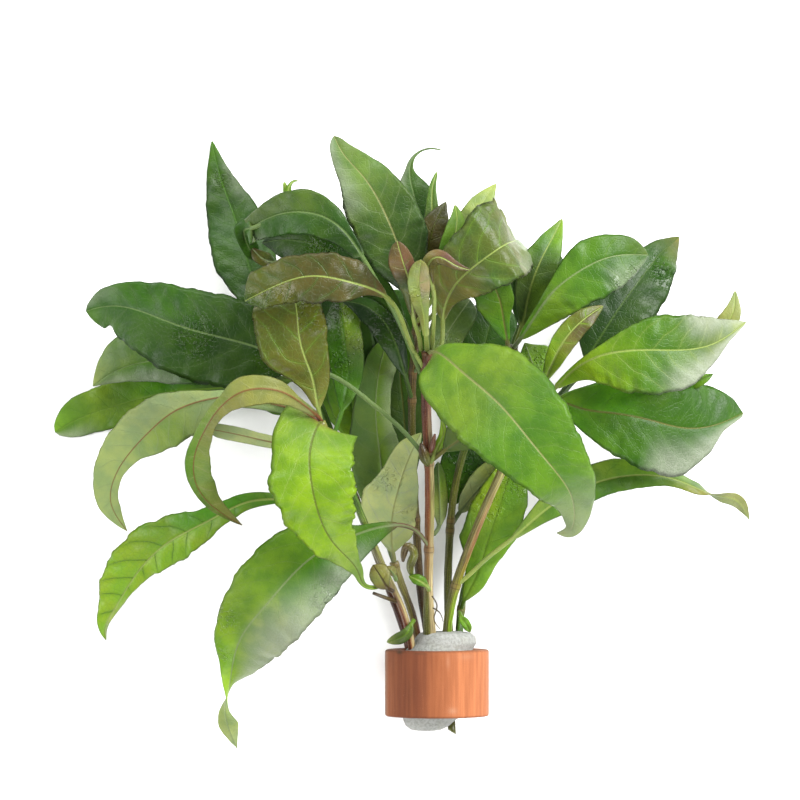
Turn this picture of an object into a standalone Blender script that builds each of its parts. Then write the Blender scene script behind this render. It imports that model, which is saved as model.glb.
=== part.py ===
"""Bunch of giant hygrophila stems, held by a foam plug in a terracotta ring.

The bunch lies on a flat surface, with the ring on its side and its axis along Y.
Each leaf is a thin closed solid on a smooth midrib; each stem is a tapered tube.
"""

import math

import bmesh
import bpy
import numpy as np
from mathutils import Matrix

MM = 0.001

# The terracotta ring gives the scale: its outer diameter spans RING_SEEN pixels of the photograph.
RING_OUTER = 35.0 * MM
RING_HEIGHT = 22.4 * MM
RING_BORE = 24.0 * MM
RING_EDGE = 0.8 * MM
RING_SIDES = 36
RING_SEEN = 104
RING_AXIS_SEEN = 437
RING_FOOT_SEEN = 716

# The photograph is 800 pixels square and looks straight down.
PHOTO_MIDDLE = 400
CAMERA_HEIGHT = 2.0
SCALE = RING_OUTER / RING_SEEN

# The plug is a stack of circles: distance above the ring's foot, shift to the right, radius, in mm.
PLUG_SIDES = 24
PLUG_CIRCLES = [(-4.6, -1.2, 4.0), (-4.0, -1.2, 7.6), (-2.2, -0.8, 10.4), (-0.2, -0.2, 11.4),
                (1.2, 0, 11.7), (21.4, 0, 11.7), (22.8, 1.2, 11.0), (24.4, 2.6, 10.6),
                (26.6, 2.9, 10.2), (28.0, 2.8, 8.6), (28.5, 2.6, 5.0)]
GAP = 0.3 * MM

# Turns what is built along Z to lie along Y.
ON_ITS_SIDE = (-math.pi / 2, 0, 0)

BLADE_THICK = 0.9 * MM
MARGIN_THICK = 0.55 * MM
STALK_THICK = 1.4 * MM
STALK_HALF = 0.75 * MM
NARROW_LEAF = 6.1
TIP_HALF = 0.2 * MM

LEAF_ROUGHNESS = 0.45
STEM_ROUGHNESS = 0.55
RING_ROUGHNESS = 0.85
FOAM_ROUGHNESS = 0.95

STEM_SIDES = 6
STEM_STEPS = 8
CUT_SLANT = 35

TINTS = {
    "dark": (0.030, 0.110, 0.030),
    "green": (0.110, 0.290, 0.030),
    "lime": (0.260, 0.520, 0.040),
    "pale": (0.240, 0.340, 0.120),
    "red": (0.140, 0.110, 0.045),
    "grey": (0.190, 0.280, 0.130),
    "yellow": (0.300, 0.330, 0.060),
    "stem": (0.220, 0.130, 0.050),
    "terracotta": (0.640, 0.200, 0.070),
    "foam": (0.750, 0.760, 0.740),
}

# Every stem runs up its path of (photo x, photo y, height above the surface in mm).
# foot and top are its radii in mm.
STEMS = {
    "stem_main": dict(
        foot=1.9, top=1.7,
        path=[(430, 705, 19.5), (430, 650, 21), (428, 600, 26), (430, 549, 31), (429, 463, 36),
              (426, 400, 41), (427, 352, 46)]),
    "stem_left_shoot": dict(
        foot=1.3, top=1.2,
        path=[(412, 705, 20.5), (412, 650, 21.5), (402, 609, 26), (389, 580, 32), (357, 505, 46),
              (321, 422, 56)]),
    "stem_left_inner": dict(
        foot=1.4, top=1.3,
        path=[(420, 705, 15.5), (419, 650, 16.5), (411, 610, 18), (401, 583, 20), (394, 562, 22)]),
    "stem_left_rear": dict(
        foot=1.3, top=1.1,
        path=[(412, 705, 14.5), (409, 650, 14.5), (394, 602, 14), (371, 540, 14), (345, 470, 14),
              (318, 400, 15), (290, 342, 17)]),
    "stem_centre_rear": dict(
        foot=1.4, top=1.2,
        path=[(430, 705, 13.2), (430, 650, 13.2), (422, 600, 14), (417, 540, 16), (413, 470, 19),
              (412, 400, 23), (415, 340, 29), (419, 304, 34)]),
    "stem_right_shoot": dict(
        foot=1.5, top=1.4,
        path=[(446, 705, 19.5), (446, 650, 20), (449, 615, 22), (456, 585, 23), (470, 545, 27),
              (502, 471, 36), (545, 392, 46)]),
    "stem_right_rear": dict(
        foot=1.3, top=1.2, cut=True,
        path=[(452, 733, 13), (451, 700, 13), (450, 650, 13), (448, 600, 13), (449.5, 540, 14),
              (453, 500, 16), (475, 420, 22), (503, 365, 33), (514, 347, 38)]),
    "stem_right_low": dict(
        foot=1.3, top=1.1,
        path=[(459, 705, 15), (459, 650, 14.5), (461, 610, 13), (480, 540, 10), (515, 460, 11),
              (555, 402, 14), (577, 376, 17)]),
}

# Every leaf grows on a stem. Its path runs like a stem's, from the stem's axis to the leaf's tip.
# left and right are half widths in mm, spread evenly from the blade's base to its tip.
# turn is the blade's roll in degrees, spread the same way; stalk counts the petiole's points.
LEAVES = {
    "leaf_front": dict(
        stem="stem_main", tint="green", stalk=1, steps=8,
        path=[(427, 353, 45.5), (435, 352, 51), (460, 370, 62), (500, 405, 73), (537, 449, 76),
              (568, 489, 70), (574, 509, 63), (567, 532, 57), (557, 533, 56)],
        left=[1, 12, 16.8, 17.5, 16.8, 13.5, 10, 5.6, 0.4],
        right=[3, 15, 16.8, 17.5, 15.4, 11.8, 9, 4.5, 0.4]),
    "leaf_lime": dict(
        stem="stem_left_shoot", tint="lime", stalk=1, steps=8,
        path=[(321, 423, 56), (319, 424, 60), (311, 445, 66), (311, 480, 70), (319, 515, 68),
              (335, 545, 62), (358, 572, 55), (366, 586, 50), (377, 587, 48), (391, 577, 48)],
        left=[4, 13.5, 14, 13.5, 10.8, 6.8, 2.5, 0.5, 0.3],
        right=[5, 11.8, 13.2, 12.7, 10.6, 8.5, 3.5, 0.5, 0.3]),
    "leaf_low_left": dict(
        stem="stem_main", tint="green", stalk=2, steps=10,
        path=[(430, 549, 31), (415, 530, 37), (397, 525, 42), (355, 535, 46), (311, 558, 49),
              (267, 604, 47), (240, 640, 38), (229, 688, 25), (226, 715, 16), (237, 748, 7)],
        left=[1, 7, 11.8, 14.8, 15, 15, 13.6, 10.7, 4, 4.4, 0.3],
        right=[1, 2.5, 9, 13.4, 15.2, 14.2, 9.6, 3.8, 3, 3.8, 0.3],
        turn=[0, 0, 0, 0, 0, 0, 0, -10, -90, -160, -175]),
    "leaf_far_left": dict(
        stem="stem_left_rear", tint="green", stalk=2, steps=9,
        path=[(356, 498, 14), (330, 495, 24), (290, 496, 28), (250, 500, 27), (210, 520, 23),
              (166, 544, 17), (138, 572, 10.5), (115, 608, 4.4), (105, 632, 1.6), (106, 640, 0.6)],
        left=[1, 2.1, 3, 4.2, 6, 7.2, 6.2, 3.9, 2.3, 1.4, 0.3],
        right=[1, 2.6, 3.4, 4.2, 6.4, 9.4, 11.5, 11.5, 9.4, 4.8, 0.3]),
    "leaf_arching_left": dict(
        stem="stem_left_shoot", tint="pale", stalk=1, steps=10,
        path=[(321, 421, 56), (316, 415, 61), (300, 402, 68), (275, 390, 75), (248, 390, 77),
              (226, 402, 72), (205, 430, 60), (194, 460, 50), (197, 486, 44), (209, 503, 41),
              (242, 525, 38)],
        left=[1, 3, 4, 4.5, 5, 4.6, 6.2, 6.6, 4.8, 2.2, 0.3],
        right=[1, 3, 4.5, 5, 5, 6, 7, 6, 4.5, 2.2, 0.3]),
    "leaf_pale_left": dict(
        stem="stem_left_shoot", tint="pale", stalk=1, steps=9,
        path=[(322, 426, 55), (312, 418, 52), (270, 403, 56), (235, 397, 57), (205, 400, 52),
              (175, 411, 46), (150, 431, 38), (128, 455, 30), (113, 482, 22), (111, 503, 17),
              (127, 531, 12)],
        left=[1, 2.6, 3.2, 5.2, 9.8, 10, 7.6, 3.6, 2.4, 2.8, 0.3],
        right=[1, 1.5, 2, 3.4, 5.6, 8.8, 10.4, 10, 8, 4.6, 0.3]),
    "leaf_left_floor": dict(
        stem="stem_left_rear", tint="dark", stalk=1, blunt=0.1,
        path=[(308, 378, 15.6), (290, 380, 13), (220, 388, 8), (160, 394, 4.6), (115, 406, 2.4),
              (80, 417, 1), (52, 429, 0.5)],
        left=[1, 4, 8, 9, 8.4, 8.2, 8.8, 9.6, 8],
        right=[1, 4, 8, 9, 8.6, 8.4, 8.8, 8.6, 5.5]),
    "leaf_left_under": dict(
        stem="stem_left_rear", tint="dark", stalk=1,
        path=[(299, 359, 16.4), (280, 355, 21), (240, 352, 21), (180, 358, 18), (135, 364, 14),
              (110, 374, 11), (93, 386, 8)],
        left=[1, 7, 10, 9, 7, 4.6, 0.4],
        right=[1, 8, 12, 14, 13.6, 9, 0.4]),
    "leaf_big_left": dict(
        stem="stem_main", tint="dark", stalk=4, steps=8, blunt=0.1,
        path=[(429, 463, 36), (408, 436, 39), (370, 402, 42), (333, 376, 44), (300, 364, 46),
              (265, 350, 47), (220, 337, 46), (180, 326, 43), (140, 311, 38), (110, 306, 31),
              (86, 311, 25)],
        left=[1, 11, 15.5, 16.5, 16, 14, 11.5, 9.4, 5],
        right=[1, 10, 14, 14.5, 14, 12.5, 10.2, 8, 4]),
    "leaf_red_left": dict(
        stem="stem_main", tint="red", stalk=3, steps=7, blunt=0.12,
        path=[(425, 370, 44.3), (411, 345, 47.5), (400, 316, 58), (385, 296, 66), (350, 282, 74),
              (310, 276, 76), (275, 286, 72), (252, 300, 66)],
        left=[1, 2.5, 6, 8, 9, 8, 6, 5, 3],
        right=[1, 4, 7.5, 8, 7.5, 7.5, 7.5, 7, 3]),
    "leaf_red_hanging": dict(
        stem="stem_left_shoot", tint="red", stalk=1,
        path=[(321, 421, 56), (318, 408, 58), (313, 380, 60), (301, 345, 62), (297, 315, 62),
              (292, 285, 58), (285, 262, 52)],
        left=[1, 4, 8, 13, 14.5, 14.5, 13, 8, 0.5],
        right=[1, 4.5, 7, 8.5, 9.5, 8.5, 8, 5, 0.5]),
    "leaf_patterned": dict(
        stem="stem_main", tint="red", stalk=2, steps=8,
        path=[(430, 370, 44.4), (441, 346, 46.5), (443, 319, 53), (452, 290, 62), (480, 262, 71),
              (501, 247, 71), (511, 242, 62), (516, 240, 48)],
        left=[1, 5, 9.5, 11, 12.8, 15, 14.4, 7, 0.5],
        right=[1, 3, 6.6, 9.4, 11, 12, 12, 7.4, 0.5]),
    "leaf_shoot_left": dict(
        stem="stem_main", tint="red", stalk=2,
        path=[(421, 350, 46), (418, 333, 57), (413, 315, 65), (411, 290, 70), (404, 265, 76),
              (397, 241, 78)],
        left=[1, 2.4, 3.4, 3.6, 0.4],
        right=[1, 2.4, 3.4, 3.6, 0.4]),
    "leaf_shoot_centre": dict(
        stem="stem_main", tint="pale", stalk=1, blunt=0.12,
        path=[(427, 351, 46), (426, 336, 58), (424, 315, 66), (420, 295, 73), (419, 275, 79),
              (421, 260, 82)],
        left=[1, 1.8, 3.2, 3.7, 2.6],
        right=[1, 1.4, 2.8, 3.7, 2.6]),
    "leaf_shoot_right": dict(
        stem="stem_main", tint="red", stalk=3,
        path=[(432, 350, 46), (433, 331, 58), (434, 310, 66), (432, 285, 72), (428, 266, 77),
              (438, 257, 81), (455, 265, 80), (470, 270, 78)],
        left=[1, 2.2, 2.6, 1.6, 0.4],
        right=[1, 2.2, 2.6, 1.6, 0.4]),
    "leaf_top": dict(
        stem="stem_centre_rear", tint="dark", stalk=1, steps=7,
        path=[(418, 310, 33.5), (415, 296, 41), (405, 265, 47), (393, 232, 50), (380, 203, 51),
              (362, 175, 50), (345, 156, 48), (334, 136, 44)],
        left=[1, 5.5, 9.5, 11.2, 12.3, 11.5, 8.5, 5.5, 0.4],
        right=[1, 5, 10, 13, 12.6, 10.6, 7.6, 4.8, 0.4]),
    "leaf_dark_arch": dict(
        stem="stem_main", tint="dark", stalk=2, steps=8,
        path=[(425, 384, 42.5), (413, 355, 43), (396, 316, 47.5), (375, 278, 52), (352, 245, 55.5),
              (325, 218, 57), (290, 211, 55), (258, 226, 48), (243, 245, 38)],
        left=[1, 3, 6, 7, 6.5, 6, 6, 5, 1],
        right=[1, 4, 7, 8, 8, 6, 5, 5, 1]),
    "leaf_dark_below_arch": dict(
        stem="stem_centre_rear", tint="dark", stalk=1,
        path=[(414, 350, 28), (402, 318, 36), (372, 285, 39), (345, 260, 39), (310, 243, 37),
              (280, 240, 33), (262, 243, 28)],
        left=[1, 4, 6, 6.4, 6, 0.4],
        right=[1, 4.6, 6.4, 6, 4.8, 0.4]),
    "leaf_top_left": dict(
        stem="stem_left_rear", tint="dark", stalk=1,
        path=[(291, 345, 17), (277, 328, 22), (258, 292, 20), (243, 245, 14), (233, 212, 9),
              (222, 182, 5), (212, 141, 0.5)],
        left=[1, 7.8, 11.7, 10.1, 5.6, 0.3],
        right=[1, 7, 10.5, 8.7, 4.6, 0.3]),
    "leaf_lime_tip": dict(
        stem="stem_left_rear", tint="lime", stalk=1,
        path=[(293, 349, 16.8), (305, 320, 12), (306, 240, 12), (297, 205, 14), (290, 187, 15),
              (284, 179, 14)],
        left=[1, 3, 3.4, 3.6, 0.6],
        right=[1, 3, 3.4, 3.6, 0.6]),
    "leaf_top_behind": dict(
        stem="stem_centre_rear", tint="dark", stalk=1, steps=8,
        path=[(419, 304, 34), (421, 290, 34.5), (425, 260, 35), (422, 225, 34.5), (416, 195, 33),
              (412, 173, 31), (418, 159, 30), (429, 151, 29), (440, 150, 29), (446, 155, 28)],
        left=[1, 6, 8.5, 8, 5.6, 4.6, 2.8, 0.6, 0.3],
        right=[1, 5, 6, 6.5, 6.6, 5.6, 3.4, 0.6, 0.3]),
    "leaf_lime_small": dict(
        stem="stem_centre_rear", tint="lime", stalk=1,
        path=[(420, 304, 34), (429, 285, 37.4), (434, 225, 38.8), (434, 200, 38), (435, 185, 37),
              (438, 172, 35)],
        left=[1, 2.6, 2.8, 1.8, 0.4],
        right=[1, 2.6, 2.8, 1.8, 0.4]),
    "leaf_lime_top": dict(
        stem="stem_centre_rear", tint="lime", stalk=1,
        path=[(416, 332, 30), (440, 305, 39), (458, 260, 48), (470, 228, 52), (481, 205, 51),
              (496, 184, 48)],
        left=[1, 5, 6.5, 5.5, 0.4],
        right=[1, 5, 7, 5.6, 0.4]),
    "leaf_dark_centre": dict(
        stem="stem_centre_rear", tint="dark", stalk=1,
        path=[(418, 312, 33.3), (424, 300, 37), (427, 270, 41), (429, 245, 43), (436, 225, 42),
              (446, 207, 40)],
        left=[1, 5, 5.5, 4, 0.4],
        right=[1, 5, 5.5, 5, 0.4]),
    "leaf_lime_centre": dict(
        stem="stem_centre_rear", tint="lime", stalk=1,
        path=[(417, 322, 31.5), (432, 300, 48), (447, 270, 55), (454, 240, 57), (457, 217, 55),
              (455, 205, 53)],
        left=[1, 3.4, 4.4, 3.6, 0.4],
        right=[1, 3.4, 4.4, 3.6, 0.4]),
    "leaf_round": dict(
        stem="stem_right_rear", tint="green", stalk=1, blunt=0.12,
        path=[(514, 347, 38), (521, 338, 45), (534, 318, 51), (552, 293, 56), (578, 272, 58),
              (610, 257, 56), (645, 254, 50)],
        left=[1, 1.5, 2.5, 4, 6.4, 8.7, 8.2, 6.5, 3],
        right=[1, 6, 10, 11, 11.5, 11.5, 11, 7.5, 3]),
    "leaf_tall_right": dict(
        stem="stem_right_low", tint="dark", stalk=1,
        path=[(576, 377, 16.8), (586, 360, 18), (600, 338, 18.5), (620, 307, 17), (642, 277, 13),
              (660, 254, 7.6), (679, 237, 0.4)],
        left=[1, 8, 11, 11.4, 11, 9.5, 6.5, 3.8, 0.4],
        right=[1, 7, 10, 12, 11.4, 10.4, 8.2, 5.4, 0.4]),
    "leaf_lime_right_top": dict(
        stem="stem_right_rear", tint="lime", stalk=1,
        path=[(514, 348, 37.6), (522, 325, 42), (530, 290, 45), (542, 258, 44), (553, 237, 41),
              (562, 219, 38)],
        left=[1, 4.5, 6, 4, 0.4],
        right=[1, 5.5, 7, 4.5, 0.4]),
    "leaf_dark_right_top": dict(
        stem="stem_right_rear", tint="dark", stalk=1,
        path=[(509, 354, 35.5), (520, 325, 34), (536, 292, 36), (546, 266, 34), (554, 246, 30)],
        left=[1, 7.6, 9, 7, 0.4],
        right=[1, 7.6, 9, 7, 0.4]),
    "leaf_small_right": dict(
        stem="stem_right_rear", tint="green", stalk=1,
        path=[(509, 357, 35.5), (507, 340, 45), (503, 316, 51), (498, 295, 54), (486, 272, 55),
              (478, 258, 52)],
        left=[1, 5, 8, 7.5, 0.4],
        right=[1, 2, 5, 5.5, 0.4]),
    "leaf_curled_yellow": dict(
        stem="stem_right_shoot", tint="yellow", stalk=1,
        path=[(545, 393, 46), (546, 379, 54), (553, 362, 59), (566, 338, 62), (583, 320, 62),
              (603, 306, 58)],
        left=[1, 3, 4, 3.5, 0.5],
        right=[1, 3, 4, 3.5, 0.5]),
    "leaf_grey_underside": dict(
        stem="stem_right_shoot", tint="grey", stalk=1,
        path=[(541, 400, 45), (538, 385, 46.5), (534, 368, 45.5), (529, 354, 42.5), (525, 343, 39)],
        left=[1, 4.6, 3.4, 0.4],
        right=[1, 7.5, 7, 0.4]),
    "leaf_light_right": dict(
        stem="stem_right_shoot", tint="green", stalk=1, steps=8,
        path=[(541, 400, 45), (556, 387, 49.5), (574, 370, 54), (600, 356, 58), (640, 350, 60),
              (680, 350, 56), (715, 343, 48), (746, 322, 40)],
        left=[1, 2.5, 4, 7, 10, 10.7, 10, 6.6, 0.4],
        right=[1, 3.5, 8, 13, 14.8, 14, 8.2, 2.4, 0.4]),
    "leaf_lime_right_tip": dict(
        stem="stem_right_low", tint="lime", stalk=2,
        path=[(577, 378, 16.6), (610, 375, 26), (660, 370, 31), (700, 350, 33), (720, 332, 34),
              (733, 312, 34), (735, 291, 32)],
        left=[1, 3, 4, 3.6, 0.4],
        right=[1, 3, 3.8, 3.2, 0.4]),
    "leaf_dark_right": dict(
        stem="stem_right_shoot", tint="dark", stalk=1, steps=8,
        path=[(537, 410, 43.5), (556, 402, 42.5), (580, 408, 45), (612, 413, 46), (650, 420, 43),
              (685, 428, 37), (715, 425, 31), (743, 413, 24)],
        left=[1, 8, 10.5, 11.5, 12, 13.5, 15, 12.6, 4.5],
        right=[1, 6, 12, 15, 16.7, 16.6, 9.4, 2.5, 1]),
    "leaf_twisted_right": dict(
        stem="stem_right_shoot", tint="green", stalk=3, steps=10,
        path=[(456, 586, 23), (470, 574, 25), (485, 560, 27), (514, 537, 30), (548, 508, 32),
              (595, 483, 30), (640, 475, 26), (680, 481, 20), (712, 494, 14), (735, 500, 8),
              (749, 519, 0.4)],
        left=[1, 3, 5, 6, 6.5, 5, 3, 2, 2.8, 2.6, 0.3],
        right=[1, 3, 5, 5.4, 5, 4.4, 3, 2.4, 2.4, 2.4, 0.3],
        turn=[0, 0, 0, 0, 0, 0, 0, -20, -110, -160, -160]),
    "leaf_stem_right": dict(
        stem="stem_right_low", tint="green", stalk=1,
        path=[(461, 610, 13), (464, 600, 17), (474, 580, 19), (488, 540, 21), (500, 505, 22),
              (510, 470, 21), (518, 440, 18)],
        left=[1, 3, 6, 9.5, 9.5, 8.5, 6, 3, 0.4],
        right=[1, 4, 5, 7.7, 9.2, 8.8, 7, 4, 0.4]),
    "leaf_pale_underside": dict(
        stem="stem_right_rear", tint="grey", stalk=1,
        path=[(449, 530, 14.3), (460, 512, 13), (476, 492, 14), (490, 475, 14), (505, 455, 12)],
        left=[1, 4, 5, 4, 0.4],
        right=[1, 4, 5, 4, 0.4]),
    "leaf_dark_wet": dict(
        stem="stem_right_rear", tint="dark", stalk=1,
        path=[(450, 520, 15), (452, 505, 10), (458, 480, 10), (468, 455, 10), (480, 435, 9)],
        left=[1, 6.5, 7.5, 8, 0.4],
        right=[1, 6, 7, 7, 0.4]),
    "leaf_underside_centre": dict(
        stem="stem_left_inner", tint="grey", stalk=1,
        path=[(395, 564, 21.8), (393, 552, 25), (392, 520, 28), (398, 490, 30), (408, 460, 31),
              (421, 433, 29)],
        left=[1, 6, 11, 11.5, 9.5, 7, 4, 0.4],
        right=[1, 6, 8.5, 9, 7, 3.5, 1.5, 0.4]),
    "leaf_long_centre": dict(
        stem="stem_left_inner", tint="dark", stalk=1,
        path=[(394, 563, 22), (388, 545, 21), (383, 510, 22), (381, 465, 24), (376, 420, 27),
              (377, 385, 28), (382, 358, 27), (388, 338, 24)],
        left=[1, 4, 8, 9.8, 9.5, 8, 6, 5, 0.4],
        right=[1, 4, 8, 9, 8, 6, 5.5, 5, 0.4]),
    "leaf_wet_left": dict(
        stem="stem_left_shoot", tint="dark", stalk=1,
        path=[(330, 444, 53.4), (342, 410, 40), (348, 375, 37), (345, 345, 38), (342, 318, 36),
              (338, 295, 32)],
        left=[1, 5, 6.5, 6, 0.4],
        right=[1, 4.5, 6, 6, 0.4]),
    "leaf_dark_left_centre": dict(
        stem="stem_left_rear", tint="dark", stalk=1,
        path=[(352, 488, 14), (358, 455, 17), (352, 410, 20.5), (348, 375, 22.5), (350, 335, 24),
              (358, 303, 22)],
        left=[1, 6, 8, 7, 0.4],
        right=[1, 6, 8, 8.5, 0.4]),
    "leaf_wet_top": dict(
        stem="stem_centre_rear", tint="dark", stalk=1,
        path=[(412, 400, 23), (405, 375, 31), (396, 345, 36), (385, 323, 38), (366, 306, 40),
              (342, 301, 38)],
        left=[1, 4, 5.5, 5, 0.4],
        right=[1, 2.8, 3.5, 3, 0.4]),
    "leaf_grey_centre": dict(
        stem="stem_centre_rear", tint="grey", stalk=1,
        path=[(413, 372, 25.6), (430, 360, 32), (443, 340, 36), (454, 322, 38), (466, 306, 38),
              (478, 292, 35)],
        left=[1, 4.5, 5.5, 4.5, 0.4],
        right=[1, 4.5, 5.5, 4.5, 0.4]),
    "leaf_behind_front": dict(
        stem="stem_main", tint="green", stalk=1,
        path=[(429, 463, 36), (445, 450, 41), (466, 436, 46), (495, 418, 50), (520, 400, 50),
              (540, 385, 44)],
        left=[1.5, 8, 8, 5, 0.4],
        right=[1, 5, 6, 4, 0.4]),
    "leaf_small_left": dict(
        stem="stem_left_shoot", tint="green", stalk=1,
        path=[(333, 450, 52.6), (318, 446, 46), (300, 444, 44), (271, 438, 44), (240, 433, 40),
              (213, 427, 36)],
        left=[1, 1.8, 2, 1.5, 0.4],
        right=[1, 1.8, 2, 1.5, 0.4]),
    "leaf_back_centre": dict(
        stem="stem_centre_rear", tint="dark", stalk=1,
        path=[(415, 520, 16.8), (410, 490, 11), (403, 430, 12), (398, 375, 13), (392, 325, 12),
              (384, 290, 10)],
        left=[1, 7, 10, 10, 0.4],
        right=[1, 6, 9, 9, 0.4]),
    "leaf_back_right": dict(
        stem="stem_right_low", tint="dark", stalk=1,
        path=[(513, 463, 11), (490, 440, 5), (480, 400, 3), (484, 350, 2), (497, 300, 0.5)],
        left=[1, 9, 12, 9, 0.4],
        right=[1, 8, 11, 9, 0.4]),
    "leaf_back_left": dict(
        stem="stem_left_rear", tint="dark", stalk=1,
        path=[(340, 458, 14), (345, 435, 6), (338, 390, 3), (325, 340, 2), (322, 295, 0.5)],
        left=[1, 8, 10, 8, 0.4],
        right=[1, 8, 10, 9, 0.4]),
}


def place(seen_x, seen_y, height):
    """World point, in metres, of what the photograph shows at a pixel, at a height in metres."""
    level = RING_OUTER / 2
    reach = SCALE * (CAMERA_HEIGHT - height) / (CAMERA_HEIGHT - level)
    return ((seen_x - PHOTO_MIDDLE) * reach, (PHOTO_MIDDLE - seen_y) * reach, height)


def place_mm(point):
    """World point of one (photo x, photo y, height in mm)."""
    return place(point[0], point[1], point[2] * MM)


def placed(path):
    """Array of world points of a path of (photo x, photo y, height in mm)."""
    return np.array([place_mm(point) for point in path])


def eased(values, share):
    """Values spread evenly over 0..1, read at share by a cubic that never overshoots them."""
    values = np.asarray(values, dtype=float)
    last = len(values) - 1
    step = np.diff(values)
    pair = step[:-1] * step[1:]
    total = step[:-1] + step[1:]
    inner = np.where(pair > 0, 2 * pair / np.where(pair > 0, total, 1), 0)
    slope = np.concatenate(([step[0]], inner, [step[-1]]))
    spot = np.clip(share, 0, 1) * last
    left = np.minimum(spot.astype(int), last - 1)
    f = spot - left
    start, end = values[left], values[left + 1]
    return (start * (1 + 2 * f) * (1 - f) ** 2 + slope[left] * f * (1 - f) ** 2
            + end * f * f * (3 - 2 * f) - slope[left + 1] * f * f * (1 - f))


def knots_of(points):
    """Share of the path's length, by straight steps, at which each of its points lies."""
    steps = np.linalg.norm(np.diff(points, axis=0), axis=1)
    return np.concatenate(([0], np.cumsum(steps))) / steps.sum()


def route(points, share):
    """Natural cubic spline through the points, read at shares of its length."""
    knots = knots_of(points)
    gap = np.diff(knots)
    count = len(points)
    matrix = np.eye(count)
    pull = np.zeros_like(points)
    for k in range(1, count - 1):
        matrix[k, k - 1:k + 2] = gap[k - 1], 2 * (gap[k - 1] + gap[k]), gap[k]
        pull[k] = 6 * ((points[k + 1] - points[k]) / gap[k]
                       - (points[k] - points[k - 1]) / gap[k - 1])
    bend = np.linalg.solve(matrix, pull)
    k = np.clip(np.searchsorted(knots, share, side="right") - 1, 0, count - 2)
    a = ((knots[k + 1] - share) / gap[k])[:, None]
    b = 1 - a
    h = gap[k][:, None]
    return (a * points[k] + b * points[k + 1]
            + ((a ** 3 - a) * bend[k] + (b ** 3 - b) * bend[k + 1]) * h * h / 6)


def unit(vectors):
    """Vectors brought to a length of one."""
    return vectors / np.linalg.norm(vectors, axis=-1, keepdims=True)


def heading(points, share):
    """Unit direction of a route at shares of its length."""
    ahead = route(points, np.minimum(share + 1e-3, 1))
    return unit(ahead - route(points, np.maximum(share - 1e-3, 0)))


def leaf_surface(leaf, along, across):
    """Middle surface of a leaf, its normals and its share of the blade, on a grid.

    along runs 0..1 from the path's foot to its tip and across -1..1 from right to left margin.
    A point is the midrib plus its share of the half width, turned about the midrib by the
    blade's roll, folded up on both sides of it, and dropped towards the margin by the curl.
    """
    points = placed(leaf["path"])
    centre = route(points, along)
    ahead = heading(points, along)
    side = unit(np.stack((-ahead[:, 1], ahead[:, 0], np.zeros(len(along))), axis=1))
    up = np.cross(ahead, side)
    start = knots_of(points)[leaf["stalk"]]
    share = (along - start) / (1 - start)
    blunt = leaf.get("blunt", 0.02)
    rounding = np.sqrt(np.clip(1 - np.clip((share - 1 + blunt) / blunt, 0, 1) ** 2, 0, 1))
    on_blade = share > 0
    left = np.maximum(eased(leaf["left"], share) * MM * rounding, TIP_HALF)
    right = np.maximum(eased(leaf["right"], share) * MM * rounding, TIP_HALF)
    turn = np.radians(eased(leaf.get("turn", [0, 0]), share))
    fold = np.radians(leaf.get("fold", 6)) * np.where(on_blade, 1, 0)
    s = across[None, :]
    half = np.where(s > 0, left[:, None], right[:, None])
    half = np.where(on_blade[:, None], half, STALK_HALF)
    roll = turn[:, None] + fold[:, None] * np.sign(s)
    outward = np.cos(roll)[..., None] * side[:, None] + np.sin(roll)[..., None] * up[:, None]
    normal = np.cos(roll)[..., None] * up[:, None] - np.sin(roll)[..., None] * side[:, None]
    drop = leaf.get("curl", 0.08) * half * s * s * np.where(on_blade, 1, 0)[:, None]
    surface = centre[:, None] + (s * half)[..., None] * outward - drop[..., None] * normal
    return surface, normal, share


def stem_line(stem, share):
    """Axis points and radii of a stem at shares of its length."""
    radius = (stem["foot"] + (stem["top"] - stem["foot"]) * share) * MM
    return route(placed(stem["path"]), share), radius


def leaf_start(leaf):
    """Share of a leaf's path at which its petiole has left the stem it grows on."""
    share = np.linspace(0, 0.5, 200)
    points = route(placed(leaf["path"]), share)
    axis, radius = stem_line(STEMS[leaf["stem"]], np.linspace(0, 1, 400))
    room = (np.linalg.norm(points[:, None] - axis[None], axis=2) - radius[None]).min(axis=1)
    inside = np.flatnonzero(room < GAP + STALK_HALF * 1.4)
    return share[inside[-1] + 1] if len(inside) else 0.0


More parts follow.
